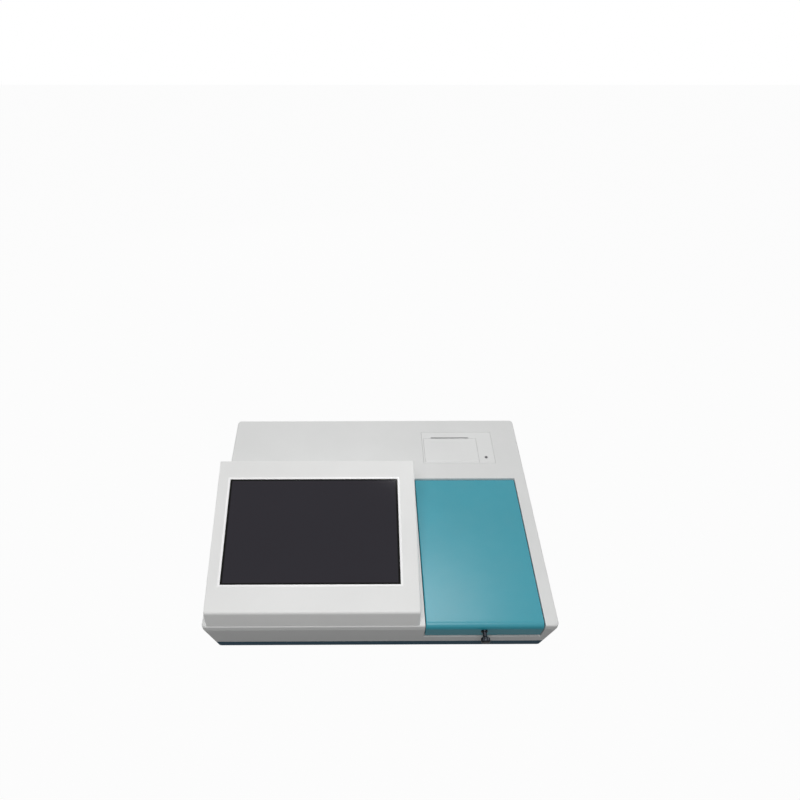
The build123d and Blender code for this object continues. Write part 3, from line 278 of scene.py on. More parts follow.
instrument = Vector((0, 0, 0.08))
soft_box("key", (-0.1, -0.80, 1.35), instrument, 0.9, 12.6)
soft_box("highlight", (0.19, 0.27, 1.4), instrument, 0.34, 3)
soft_box("back", (-0.3, 1.3, 0.5), instrument, 0.8, 5)
for side, label in ((-1, "left"), (1, "right")):
    soft_box(label, (1.35 * side, 0.1, 0.42), instrument, 0.8, 4)

# %% [markdown]
# ## Effects that materials share
#
# Real finishes differ in colour but share their faults. Moulded plastic has a fine spark-eroded
# grain and is never one even tone. Edges are rubbed, and upward faces gather a little dust. Drawn
# and milled metal has lines that run one way. Each effect is one shader group. It puts out a mask
# or a height, and the material decides what to do with it.

# %% Group: uneven tone


def build_uneven_tone():
    """A colour that drifts a little lighter and darker over the surface."""
    tree, start, end = new_group(
        "ShaderNodeTree", "uneven tone",
        [("Colour", "Color", (0.8, 0.8, 0.8, 1)), ("Scale", "Float", 20.0), ("Amount", "Float", 0.06)],
        [("Colour", "Color"), ("Mask", "Float")],
    )
    place = object_place(tree)
    scale = start.outputs["Scale"]
    wide = add_node(tree, "ShaderNodeTexNoise", {"Vector": place, "Scale": scale, "Detail": 4.0})
    tone = calculate(tree, "SUBTRACT", wide.outputs["Fac"], 0.5)
    swing = calculate(tree, "MULTIPLY", start.outputs["Amount"], 2.0)
    factor = calculate(tree, "MULTIPLY_ADD", tone, swing, 1.0)
    grey = add_node(tree, "ShaderNodeCombineColor", {0: factor, 1: factor, 2: factor}).outputs[0]
    tree.links.new(mix_colour(tree, 1.0, start.outputs["Colour"], grey, "MULTIPLY"), end.inputs["Colour"])
    tree.links.new(wide.outputs["Fac"], end.inputs["Mask"])
    return tree


uneven_tone = build_uneven_tone()
print("group", uneven_tone.name)

# %% Group: moulded grain


def build_moulded_grain():
    """The fine pitted grain of a spark-eroded mould."""
    tree, start, end = new_group(
        "ShaderNodeTree", "moulded grain",
        [("Scale", "Float", 1400.0), ("Softness", "Float", 0.5)],
        [("Height", "Float"), ("Mask", "Float")],
    )
    place = object_place(tree)
    scale, softness = start.outputs["Scale"], start.outputs["Softness"]
    fine = add_node(tree, "ShaderNodeTexNoise", {"Vector": place, "Scale": scale, "Detail": 2.0})
    coarse_scale = calculate(tree, "MULTIPLY", scale, 0.37)
    pits = add_node(tree, "ShaderNodeTexVoronoi", {"Vector": place, "Scale": coarse_scale})
    mixed = add_node(tree, "ShaderNodeMix", {0: softness, 2: pits.outputs[0], 3: fine.outputs[0]})
    tree.links.new(mixed.outputs[0], end.inputs["Height"])
    tree.links.new(fine.outputs["Fac"], end.inputs["Mask"])
    return tree


moulded_grain = build_moulded_grain()
print("group", moulded_grain.name)

# %% Group: worn edges


def build_worn_edges():
    """A mask along hard edges, found by comparing the surface with a rounded copy of itself."""
    tree, start, end = new_group(
        "ShaderNodeTree", "worn edges",
        [("Radius", "Float", 0.6 * mm), ("Patchiness", "Float", 90.0)],
        [("Mask", "Float")],
    )
    rounded = add_node(tree, "ShaderNodeBevel", {"Radius": start.outputs["Radius"]}, samples=4)
    flat = add_node(tree, "ShaderNodeNewGeometry")
    likeness = add_node(tree, "ShaderNodeVectorMath", {0: rounded.outputs[0], 1: flat.outputs["Normal"]},
                        operation="DOT_PRODUCT").outputs["Value"]
    edge = calculate(tree, "MULTIPLY", calculate(tree, "SUBTRACT", 1.0, likeness), 6.0, clamp=True)
    place = object_place(tree)
    patches = add_node(tree, "ShaderNodeTexNoise", {"Vector": place, "Scale": start.outputs["Patchiness"]})
    uneven = spread(tree, patches.outputs["Fac"], 0.2, 1.0)
    tree.links.new(calculate(tree, "MULTIPLY", edge, uneven), end.inputs["Mask"])
    return tree


worn_edges = build_worn_edges()
print("group", worn_edges.name)

# %% Group: settled dust


def build_settled_dust():
    """A mask that is thickest on faces that look up, in soft patches."""
    tree, start, end = new_group(
        "ShaderNodeTree", "settled dust",
        [("Amount", "Float", 0.1), ("Scale", "Float", 45.0)],
        [("Mask", "Float")],
    )
    normal = add_node(tree, "ShaderNodeNewGeometry").outputs["Normal"]
    upward = split(tree, normal)["Z"]
    place = object_place(tree)
    scale = start.outputs["Scale"]
    patches = add_node(tree, "ShaderNodeTexNoise", {"Vector": place, "Scale": scale, "Detail": 5.0})
    lying = calculate(tree, "MULTIPLY", calculate(tree, "MAXIMUM", upward, 0.0), patches.outputs["Fac"])
    tree.links.new(calculate(tree, "MULTIPLY", lying, start.outputs["Amount"]), end.inputs["Mask"])
    return tree


settled_dust = build_settled_dust()
print("group", settled_dust.name)

# %% Group: drawn lines


def build_drawn_lines():
    """Fine lines along one direction, as drawing, turning or brushing leaves them."""
    tree, start, end = new_group(
        "ShaderNodeTree", "drawn lines",
        [("Stretch", "Vector", (40.0, 1500.0, 1500.0)), ("Detail", "Float", 3.0)],
        [("Height", "Float"), ("Mask", "Float")],
    )
    place = object_place(tree)
    stretched = add_node(tree, "ShaderNodeVectorMath", {0: place, 1: start.outputs["Stretch"]},
                         operation="MULTIPLY")
    lines = add_node(tree, "ShaderNodeTexNoise",
                     {"Vector": stretched.outputs[0], "Scale": 1.0, "Detail": start.outputs["Detail"]})
    tree.links.new(lines.outputs["Fac"], end.inputs["Height"])
    tree.links.new(lines.outputs["Fac"], end.inputs["Mask"])
    return tree


drawn_lines = build_drawn_lines()
print("group", drawn_lines.name)

# %% Place a group in a material


def place_group(tree, group, inputs):
    """Puts a shared effect into a material, with that material's own values."""
    return add_node(tree, "ShaderNodeGroup", inputs, node_tree=group)


def new_material(name, **constants):
    """An empty material with one Principled shader. Even values are typed into its own sockets."""
    material = bpy.data.materials.new(name)
    material.use_nodes = True
    tree = material.node_tree
    shader = tree.nodes["Principled BSDF"]
    for label, value in constants.items():
        shader.inputs[label.replace("_", " ")].default_value = value
    return material, tree, shader


def bump(tree, shader, height, strength, distance):
    """A height as a bump on the shader's normal."""
    node = add_node(tree, "ShaderNodeBump", {"Height": height, "Strength": strength, "Distance": distance})
    tree.links.new(node.outputs[0], shader.inputs["Normal"])


# %% [markdown]
# ## Moulded plastics
#
# Nearly everything that shows on this instrument is moulded and painted or left as it came out of
# the mould. One function covers them: an uneven tone, a grain that breaks up the gloss, slightly
# paler edges and a breath of dust. The values differ from part to part. The white case is painted
# and nearly smooth, the base has a coarser grain, and the lid is a semi-gloss teal, whose clear
# topcoat gives the soft highlight at its front.

# %% Moulded plastic


def moulded_plastic(name, colour, roughness, grain=1400.0, depth=0.012, tone=0.05, edge=0.25, dust=0.08,
                    coat=0.0, gloss=0.5):
    """A moulded part: uneven tone, pitted grain, rubbed edges and dust."""
    material, tree, shader = new_material(name, Coat_Weight=coat, Coat_Roughness=0.22,
                                          Specular_IOR_Level=gloss)
    toned = place_group(tree, uneven_tone, {"Colour": (*colour, 1), "Scale": 14.0, "Amount": tone})
    rubbed = place_group(tree, worn_edges, {"Radius": 0.7 * mm})
    dusty = place_group(tree, settled_dust, {"Amount": dust})
    pale = [channel + (1 - channel) * 0.35 for channel in colour]
    edge_share = calculate(tree, "MULTIPLY", rubbed.outputs["Mask"], edge)
    edged = mix_colour(tree, edge_share, toned.outputs["Colour"], pale)
    finished = mix_colour(tree, dusty.outputs["Mask"], edged, (0.62, 0.61, 0.58))
    tree.links.new(finished, shader.inputs["Base Color"])
    grained = place_group(tree, moulded_grain, {"Scale": grain})
    uneven = spread(tree, grained.outputs["Mask"], roughness - 0.05, roughness + 0.08)
    tree.links.new(uneven, shader.inputs["Roughness"])
    bump(tree, shader, grained.outputs["Height"], 0.35, depth * mm)
    return material


made = {
    "case_white": moulded_plastic("case white", (0.735, 0.74, 0.735), 0.42, grain=900.0, depth=0.01,
                                  dust=0.04, gloss=0.4),
    # The base is the lid's teal plastic; its colour is darkened far below the lid's teal to the shade it lies
    # in: painted shade.
    "base_blue": moulded_plastic("base teal painted shade", (0.02, 0.075, 0.12), 0.4, depth=0.03, dust=0.03, gloss=0.12),
    "bay_grey": moulded_plastic("bay grey", (0.30, 0.31, 0.33), 0.5, depth=0.03),
    "motor_black": moulded_plastic("moulded black", (0.018, 0.018, 0.02), 0.4, depth=0.03, edge=0.12),
    "bearing_plastic": moulded_plastic("bearing plastic", (0.74, 0.73, 0.69), 0.35, depth=0.008),
    "tray_white": moulded_plastic("tray white", (0.80, 0.80, 0.79), 0.28, depth=0.006, coat=0.3),
    "lid_teal": moulded_plastic("lid teal", (0.031, 0.31, 0.395), 0.3, grain=1100.0, depth=0.01, edge=0.18,
                                dust=0.03, coat=0.2, gloss=0.4),
    "printer_grey": moulded_plastic("printer grey", (0.765, 0.77, 0.765), 0.42, grain=900.0, dust=0.04),
    "button_grey": moulded_plastic("button grey", (0.09, 0.09, 0.10), 0.3, depth=0.01),
}
print("moulded plastics", len(made))

# %% [markdown]
# ## Rubber and paper
#
# Rubber is nearly black and matt, with a bloom that is a little paler in patches. The thermal paper
# roll shows its wound layers at its ends. A ring pattern centred on the roll's own axis draws them,
# and a very soft grain covers the outside.

# %% Rubber


def soft_rubber():
    """Matt dark rubber with a pale bloom."""
    material, tree, shader = new_material("soft rubber", Specular_IOR_Level=0.3)
    toned = place_group(tree, uneven_tone, {"Colour": (0.035, 0.035, 0.037, 1), "Scale": 60.0, "Amount": 0.3})
    dusty = place_group(tree, settled_dust, {"Amount": 0.12, "Scale": 120.0})
    tree.links.new(mix_colour(tree, dusty.outputs["Mask"], toned.outputs["Colour"], (0.4, 0.4, 0.38)),
                   shader.inputs["Base Color"])
    grained = place_group(tree, moulded_grain, {"Scale": 2200.0, "Softness": 0.8})
    tree.links.new(spread(tree, grained.outputs["Mask"], 0.7, 0.9), shader.inputs["Roughness"])
    bump(tree, shader, grained.outputs["Height"], 0.4, 0.03 * mm)
    return material


made["rubber"] = soft_rubber()
print("material", made["rubber"].name)

# %% Paper


def wound_paper():
    """Thermal paper: smooth, faintly warm, with the roll's layers on its ends."""
    middle = box_middle("paper_roll")
    material, tree, shader = new_material("wound paper", Roughness=0.62)
    place = object_place(tree)
    centred = add_node(tree, "ShaderNodeMapping", {"Vector": place, "Location": -middle}).outputs[0]
    rings = add_node(tree, "ShaderNodeTexWave", {"Vector": centred, "Scale": 420.0, "Distortion": 0.6},
                     wave_type="RINGS", rings_direction="X")
    normal = add_node(tree, "ShaderNodeNewGeometry").outputs["Normal"]
    sideways = calculate(tree, "ABSOLUTE", split(tree, normal)["X"])
    layered = calculate(tree, "MULTIPLY", rings.outputs["Fac"], sideways)
    toned = place_group(tree, uneven_tone, {"Colour": (0.86, 0.85, 0.81, 1), "Scale": 35.0, "Amount": 0.04})
    shade = calculate(tree, "MULTIPLY", layered, 0.35)
    wound = mix_colour(tree, shade, toned.outputs["Colour"], (0.55, 0.53, 0.5))
    tree.links.new(wound, shader.inputs["Base Color"])
    bump(tree, shader, layered, 0.3, 0.05 * mm)
    return material


made["paper"] = wound_paper()
print("material", made["paper"].name)

# %% [markdown]
# ## Metals
#
# A metal has no colour of its own apart from its reflection, so what tells one from another is the
# tint and how the reflection is broken up. Ground rods are nearly mirrors with lines along them.
# Zinc plating is duller and cloudy. Milled aluminium shows the cutter's lines. One function makes
# them all from a tint, a roughness and the direction of the lines.

# %% Worked metal
rubbed_share = 0.15


def worked_metal(name, tint, roughness, stretch, lines=0.1, cloud=0.08):
    """A metal with lines along one direction, a cloudy tone and bright edges."""
    material, tree, shader = new_material(name, Metallic=1.0)
    toned = place_group(tree, uneven_tone, {"Colour": (*tint, 1), "Scale": 70.0, "Amount": cloud})
    rubbed = place_group(tree, worn_edges, {"Radius": 0.3 * mm, "Patchiness": 200.0})
    bright = [min(1.0, channel * 1.25) for channel in tint]
    share = calculate(tree, "MULTIPLY", rubbed.outputs["Mask"], rubbed_share)
    tree.links.new(mix_colour(tree, share, toned.outputs["Colour"], bright), shader.inputs["Base Color"])
    drawn = place_group(tree, drawn_lines, {"Stretch": stretch})
    spread_rough = spread(tree, drawn.outputs["Mask"], roughness * 0.7, roughness * 1.4)
    tree.links.new(spread_rough, shader.inputs["Roughness"])
    bump(tree, shader, drawn.outputs["Height"], lines, 0.02 * mm)
    return material


all_ways = (900.0, 900.0, 900.0)
metals = {
    "screw_steel": worked_metal("zinc plated screws", (0.52, 0.52, 0.53), 0.32, all_ways),
    "lcd_frame": worked_metal("display frame", (0.50, 0.50, 0.51), 0.36, (30.0, 1400.0, 1400.0)),
    "plated_steel": worked_metal("plated sheet", (0.60, 0.61, 0.62), 0.3, (30.0, 1300.0, 1300.0),
                                 cloud=0.12),
    "polished_steel": worked_metal("ground steel", (0.66, 0.66, 0.67), 0.14, (1800.0, 60.0, 1800.0),
                                   lines=0.06),
    "machined_aluminium": worked_metal("machined aluminium", (0.70, 0.71, 0.72), 0.3,
                                       (25.0, 1600.0, 1600.0)),
    "brass": worked_metal("turned brass", (0.74, 0.56, 0.25), 0.24, (1500.0, 1500.0, 60.0)),
    # The knob's nearly black tint stands in for the dark surroundings that a plated knob reflects: painted
    # dark reflection.
    "chrome": worked_metal("plated knob painted dark reflection", (0.032, 0.036, 0.042), 0.08, (700.0, 700.0, 700.0),
                           lines=0.02, cloud=0.04),
}
made.update(metals)
print("metals", len(metals))

# %% Powder coat


def powder_coat():
    """The back plate's paint: fine orange peel over sheet steel, with bare metal at rubbed edges."""
    material, tree, shader = new_material("powder coat")
    toned = place_group(tree, uneven_tone, {"Colour": (0.33, 0.35, 0.37, 1), "Scale": 30.0, "Amount": 0.06})
    rubbed = place_group(tree, worn_edges, {"Radius": 0.4 * mm, "Patchiness": 160.0})
    bare = calculate(tree, "GREATER_THAN", rubbed.outputs["Mask"], 0.72)
    coated = mix_colour(tree, bare, toned.outputs["Colour"], (0.6, 0.6, 0.6))
    tree.links.new(coated, shader.inputs["Base Color"])
    tree.links.new(bare, shader.inputs["Metallic"])
    peel = place_group(tree, moulded_grain, {"Scale": 700.0, "Softness": 1.0})
    tree.links.new(spread(tree, peel.outputs["Mask"], 0.42, 0.56), shader.inputs["Roughness"])
    bump(tree, shader, peel.outputs["Height"], 0.5, 0.04 * mm)
    return material


made["panel_grey"] = powder_coat()
print("material", made["panel_grey"].name)

# %% [markdown]
# ## Circuit boards
#
# A bare board is green solder mask over copper. The copper shows as slightly raised, paler tracks.
# A brick texture in two directions gives straight runs with steps, and a grid of dots gives the
# tinned holes, so no picture of a real board is needed.

# %% Solder mask


def solder_mask():
    """Green mask over copper tracks, with tinned holes."""
    material, tree, shader = new_material("solder mask", Coat_Weight=0.5, Coat_Roughness=0.15)
    place = object_place(tree)
    tracks = add_node(tree, "ShaderNodeTexBrick", {"Vector": place, "Scale": 160.0, "Mortar Size": 0.07,
                                                   "Brick Width": 2.6, "Row Height": 0.24})
    dots = add_node(tree, "ShaderNodeTexVoronoi", {"Vector": place, "Scale": 260.0, "Randomness": 0.25})
    holes = calculate(tree, "LESS_THAN", dots.outputs["Distance"], 0.16)
    toned = place_group(tree, uneven_tone, {"Colour": (0.012, 0.10, 0.045, 1), "Scale": 60.0, "Amount": 0.15})
    tracked = mix_colour(tree, tracks.outputs["Fac"], toned.outputs["Colour"], (0.03, 0.19, 0.08))
    tree.links.new(mix_colour(tree, holes, tracked, (0.55, 0.52, 0.45)), shader.inputs["Base Color"])
    tree.links.new(calculate(tree, "MULTIPLY", holes, 0.9), shader.inputs["Metallic"])
    tree.links.new(spread(tree, tracks.outputs["Fac"], 0.34, 0.26), shader.inputs["Roughness"])
    bump(tree, shader, calculate(tree, "SUBTRACT", tracks.outputs["Fac"], holes), 0.4, 0.03 * mm)
    return material


made["circuit_board"] = solder_mask()
print("material", made["circuit_board"].name)

# %% [markdown]
# ## The screen
#
# The window is one sheet of dark touch glass, flush in the pod. Its rim is printed black on the
# back. Inside the rim the display itself shows as a slightly lighter, slightly purple grey, as a
# switched-off panel does. The glass lies in a sloping plane, so its pattern is drawn in that
# plane's own directions: its middle comes from the CAD box, its slope from the sheet's own face.

# %% Dark glass
glass_size = box_size("touch_glass")
upward_faces = [face for face in nodes["touch_glass"].data.polygons if face.normal.z > 0]
glass_face = max(upward_faces, key=lambda face: face.area)
glass_slope = math.atan2(-glass_face.normal.y, glass_face.normal.z)
rim_print = 2.6 * mm


def dark_glass():
    """Touch glass with a black printed rim round a dark grey display."""
    material, tree, shader = new_material("dark glass", IOR=1.5, Specular_IOR_Level=0.14)
    place = object_place(tree)
    middle = box_middle("touch_glass")
    centred = add_node(tree, "ShaderNodeMapping", {"Vector": place, "Location": -middle}).outputs[0]
    level = add_node(tree, "ShaderNodeVectorRotate", {"Vector": centred, "Angle": -glass_slope},
                     rotation_type="X_AXIS").outputs[0]
    across, along, _ = split(tree, level)
    half_width = glass_size.x / 2 - rim_print
    half_height = glass_size.y / 2 / math.cos(glass_slope) - rim_print
    in_width = calculate(tree, "LESS_THAN", calculate(tree, "ABSOLUTE", across), half_width)
    in_height = calculate(tree, "LESS_THAN", calculate(tree, "ABSOLUTE", along), half_height)
    display = calculate(tree, "MULTIPLY", in_width, in_height)
    toned = place_group(tree, uneven_tone, {"Colour": (0.024, 0.022, 0.029, 1), "Scale": 9.0, "Amount": 0.05})
    tree.links.new(mix_colour(tree, display, (0.002, 0.002, 0.002), toned.outputs["Colour"]),
                   shader.inputs["Base Color"])
    smears = place_group(tree, uneven_tone, {"Scale": 30.0})
    tree.links.new(spread(tree, smears.outputs["Mask"], 0.06, 0.12), shader.inputs["Roughness"])
    return material


made["screen_glass"] = dark_glass()
print("glass slope", round(math.degrees(glass_slope), 1), "degrees")

# %% Give each CAD node the finish of its slot
# The pod is the case's white plastic; this copy is lighter than the case white, so the pod's top shows
# brighter than the deck: painted light.
pod_white_painted_light = moulded_plastic("pod white painted light", (0.81, 0.812, 0.805), 0.4, grain=900.0, depth=0.01, dust=0.03,
                            gloss=0.4)
painted_light_finish = {"screen_pod": pod_white_painted_light}
for name, node in nodes.items():
    node.data.materials.clear()
    node.data.materials.append(painted_light_finish.get(name, made[slot_of[name]]))
print("finished nodes", len(nodes))

# %% [markdown]
# ## Growing parts with Geometry Nodes
#
# What repeats, or follows a rule, is grown by a small node tree. The tree is written here with
# named inputs for its sizes. It is run once on an empty object, its result is kept as a plain mesh,
# and the modifier is thrown away, so what remains is an ordinary piece.

# %% Run a tree once


def grow(tree, name, values, body, replaces=()):
    """Runs a tree with these values and keeps the result as a finished piece on a body."""
    holder = bpy.data.objects.new(name, bpy.data.meshes.new(name))
    bpy.context.scene.collection.objects.link(holder)
    modifier = holder.modifiers.new("grow", "NODES")
    modifier.node_group = tree
    for item in tree.interface.items_tree:
        if item.item_type == "SOCKET" and item.in_out == "INPUT" and item.name in values:
            modifier[item.identifier] = values[item.name]
    evaluated = holder.evaluated_get(bpy.context.evaluated_depsgraph_get())
    mesh = bpy.data.meshes.new_from_object(evaluated)
    holder.modifiers.remove(modifier)
    holder.data = mesh
    mesh.name = name
    return place_piece(holder, body, replaces)


def place_piece(piece, body, replaces=()):
    """Hangs a piece on the body it rides on and hides the CAD nodes it stands for."""
    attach(piece, body)
    if replaces:
        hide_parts(*replaces)
    print(piece.name, len(piece.data.polygons), "faces on", body)
    return piece


def end_tree(tree, end, geometry, material, place=None):
    """The last nodes of every tree: moved to its place, real copies, one material, out."""
    if place is not None:
        geometry = add_node(tree, "GeometryNodeTransform", {0: geometry, "Translation": place}).outputs[0]
    real = add_node(tree, "GeometryNodeRealizeInstances", {0: geometry})
    painted = add_node(tree, "GeometryNodeSetMaterial", {0: real.outputs[0], "Material": material})
    tree.links.new(painted.outputs[0], end.inputs[0])


# %% [markdown]
# ## The lead screw
#
# The tray is driven by a steep thread: four starts, 8 mm of travel for one turn. The CAD model has
# a plain rod of the thread's outer size. A thread is a surface with a rule, so it is grown from a
# flat grid: one direction runs round the rod, the other along it, and the radius at each point
# follows a rounded wave of the angle and the distance.

# %% Thread tree


def build_thread():
    """A multi-start thread rolled up from a grid."""
    tree, start, end = new_group(
        "GeometryNodeTree", "rolled thread",
        [("Length", "Float", 0.2), ("Outer Radius", "Float", 4 * mm), ("Depth", "Float", 0.7 * mm),
         ("Lead", "Float", 8 * mm), ("Starts", "Float", 4.0), ("Place", "Vector", (0, 0, 0))],
        [("Geometry", "Geometry")],
    )
    grid = add_node(tree, "GeometryNodeMeshGrid",
                    {"Size X": 1.0, "Size Y": 1.0, "Vertices X": 41, "Vertices Y": 620})
    across, along, _ = split(tree, add_node(tree, "GeometryNodeInputPosition").outputs[0])
    turn = calculate(tree, "MULTIPLY", across, 2 * math.pi)
    run = calculate(tree, "MULTIPLY", along, start.outputs["Length"])
    turns_along = calculate(tree, "DIVIDE", run, start.outputs["Lead"])
    behind = calculate(tree, "SUBTRACT", turns_along, across)
    lag = calculate(tree, "MULTIPLY", behind, start.outputs["Starts"])
    wave = calculate(tree, "COSINE", calculate(tree, "MULTIPLY", lag, 2 * math.pi))
    flattened = calculate(tree, "MULTIPLY", wave, 1.8)
    crest = spread(tree, calculate(tree, "MULTIPLY_ADD", flattened, 0.5, 0.5, clamp=True), 1.0, 0.0)
    cut = calculate(tree, "MULTIPLY", crest, start.outputs["Depth"])
    radius = calculate(tree, "SUBTRACT", start.outputs["Outer Radius"], cut)
    sideways = calculate(tree, "MULTIPLY", radius, calculate(tree, "SINE", turn))
    upwards = calculate(tree, "MULTIPLY", radius, calculate(tree, "COSINE", turn))
    rolled = vector(tree, sideways, run, upwards)
    placed = add_node(tree, "ShaderNodeVectorMath", {0: rolled, 1: start.outputs["Place"]})
    moved = add_node(tree, "GeometryNodeSetPosition", {0: grid.outputs[0], "Position": placed.outputs[0]})
    joined = add_node(tree, "GeometryNodeMergeByDistance", {0: moved.outputs[0], "Distance": 0.01 * mm})
    smooth = add_node(tree, "GeometryNodeSetShadeSmooth", {0: joined.outputs[0]})
    end_tree(tree, end, smooth.outputs[0], made["polished_steel"])
    return tree


thread_tree = build_thread()
print("tree", thread_tree.name)

# %% Lead screw
journal_radius = 2.5 * mm
end_clearance = 0.3 * mm
motor_pilot = 2 * mm
coupling_room = 6 * mm


def build_journals():
    """The thinner ends of the screw, one in the front bearing and one in the motor."""
    tree, start, end = new_group(
        "GeometryNodeTree", "screw ends",
        [("Radius", "Float", journal_radius), ("Length", "Float", 0.2), ("Place", "Vector", (0, 0, 0))],
        [("Geometry", "Geometry")],
    )
    rod = add_node(tree, "GeometryNodeMeshCylinder",
                   {"Vertices": 32, "Radius": start.outputs["Radius"], "Depth": start.outputs["Length"]})
    laid = add_node(tree, "GeometryNodeTransform", {0: rod.outputs[0], "Rotation": (math.pi / 2, 0, 0)})
    end_tree(tree, end, laid.outputs[0], made["polished_steel"], start.outputs["Place"])
    return tree


def make_lead_screw():
    """The thread between its bearing and the motor, and the plain rod through it."""
    low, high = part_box("lead_screw")
    axis = box_middle("lead_screw")
    thread_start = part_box("rod_support")[1].y + end_clearance
    thread_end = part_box("tray_motor")[0].y + motor_pilot - coupling_room
    thread_length = thread_end - thread_start
    middle = (thread_start + thread_end) / 2
    grow(thread_tree, "screw_thread", {"Length": thread_length, "Place": (axis.x, middle, axis.z)},
         "lead_screw", ["lead_screw"])
    grow(build_journals(), "screw_journals", {"Length": high.y - low.y, "Place": tuple(axis)},
         "lead_screw")
    print("thread length", round(thread_length / mm, 1), "mm")


make_lead_screw()

# %% [markdown]
# ## The fan
#
# The cooling fan shows through the holes of its grille. A real fan has curved blades that lean
# against the wind, more than flat plates do. One blade is a thin block bent by three short
# formulas, and the tree sets it round the hub as often as it is told.

# %% Fan tree
tip_share = 0.42
blade_thickness = 0.9 * mm
cap_share = 0.82
cap_rise = 0.5 * mm


def build_fan():
    """A hub with curved blades round it, turning about Y."""
    tree, start, end = new_group(
        "GeometryNodeTree", "fan wheel",
        [("Blades", "Int", 7), ("Hub Radius", "Float", 8.5 * mm), ("Tip Radius", "Float", 17 * mm),
         ("Chord", "Float", 7.4 * mm), ("Lean", "Float", math.radians(38)), ("Camber", "Float", 1.1 * mm),
         ("Depth", "Float", 7 * mm), ("Place", "Vector", (0, 0, 0))],
        [("Geometry", "Geometry")],
    )
    block = add_node(tree, "GeometryNodeMeshCube",
                     {"Size": (1, 1, 1), "Vertices X": 7, "Vertices Y": 7, "Vertices Z": 2})
    place = add_node(tree, "GeometryNodeInputPosition").outputs[0]
    out, chordwise, through = split(tree, place)
    span = calculate(tree, "SUBTRACT", start.outputs["Tip Radius"], start.outputs["Hub Radius"])
    share = calculate(tree, "ADD", out, tip_share)
    reach = calculate(tree, "MULTIPLY_ADD", span, share, start.outputs["Hub Radius"])
    chord = calculate(tree, "MULTIPLY", start.outputs["Chord"], chordwise)
    arch = calculate(tree, "COSINE", calculate(tree, "MULTIPLY", chordwise, math.pi))
    bow = calculate(tree, "MULTIPLY", start.outputs["Camber"], arch)
    thick = calculate(tree, "MULTIPLY_ADD", through, blade_thickness, bow)
    sine = calculate(tree, "SINE", start.outputs["Lean"])
    cosine = calculate(tree, "COSINE", start.outputs["Lean"])
    axial = calculate(tree, "SUBTRACT", calculate(tree, "MULTIPLY", chord, cosine),
                      calculate(tree, "MULTIPLY", thick, sine))
    around = calculate(tree, "ADD", calculate(tree, "MULTIPLY", chord, sine),
                       calculate(tree, "MULTIPLY", thick, cosine))
    bent = vector(tree, reach, axial, around)
    blade = add_node(tree, "GeometryNodeSetPosition", {0: block.outputs[0], "Position": bent})
    points = add_node(tree, "GeometryNodePoints", {"Count": start.outputs["Blades"]})
    step = calculate(tree, "DIVIDE", 2 * math.pi, start.outputs["Blades"])
    turn = calculate(tree, "MULTIPLY", add_node(tree, "GeometryNodeInputIndex").outputs[0], step)
    rotation = add_node(tree, "FunctionNodeEulerToRotation", {0: vector(tree, y=turn)})
    wheel = add_node(tree, "GeometryNodeInstanceOnPoints",
                     {"Points": points.outputs[0], "Instance": blade.outputs[0],
                      "Rotation": rotation.outputs[0]})
    hub = add_node(tree, "GeometryNodeMeshCylinder",
                   {"Vertices": 48, "Radius": start.outputs["Hub Radius"], "Depth": start.outputs["Depth"]})
    cap_radius = calculate(tree, "MULTIPLY", start.outputs["Hub Radius"], cap_share)
    cap_depth = calculate(tree, "ADD", start.outputs["Depth"], cap_rise)
    cap = add_node(tree, "GeometryNodeMeshCylinder",
                   {"Vertices": 48, "Radius": cap_radius, "Depth": cap_depth})
    turned = [add_node(tree, "GeometryNodeTransform", {0: part.outputs[0], "Rotation": (math.pi / 2, 0, 0)})
              for part in (hub, cap)]
    joined = add_node(tree, "GeometryNodeJoinGeometry")
    for part in (wheel, *turned):
        tree.links.new(part.outputs[0], joined.inputs[0])
    end_tree(tree, end, joined.outputs[0], made["motor_black"], start.outputs["Place"])
    return tree


# %% Fan
hub_clearance = 1.6 * mm
fan_middle = box_middle("fan_rotor")
hub_depth = box_size("fan_rotor").y - hub_clearance
grow(build_fan(), "fan_wheel", {"Place": tuple(fan_middle), "Depth": hub_depth},
     "fan_rotor", ["fan_rotor"])

# %% [markdown]
# ## Rows of contacts and teeth
#
# Sockets hold rows of thin springs, and the paper slot has a row of teeth that tears the strip.
# Both are one small shape repeated along a line, so one tree makes them: it takes the count, the
# pitch and the size of one contact. A cone with four sides makes a tooth in the same way.

# %% Row tree


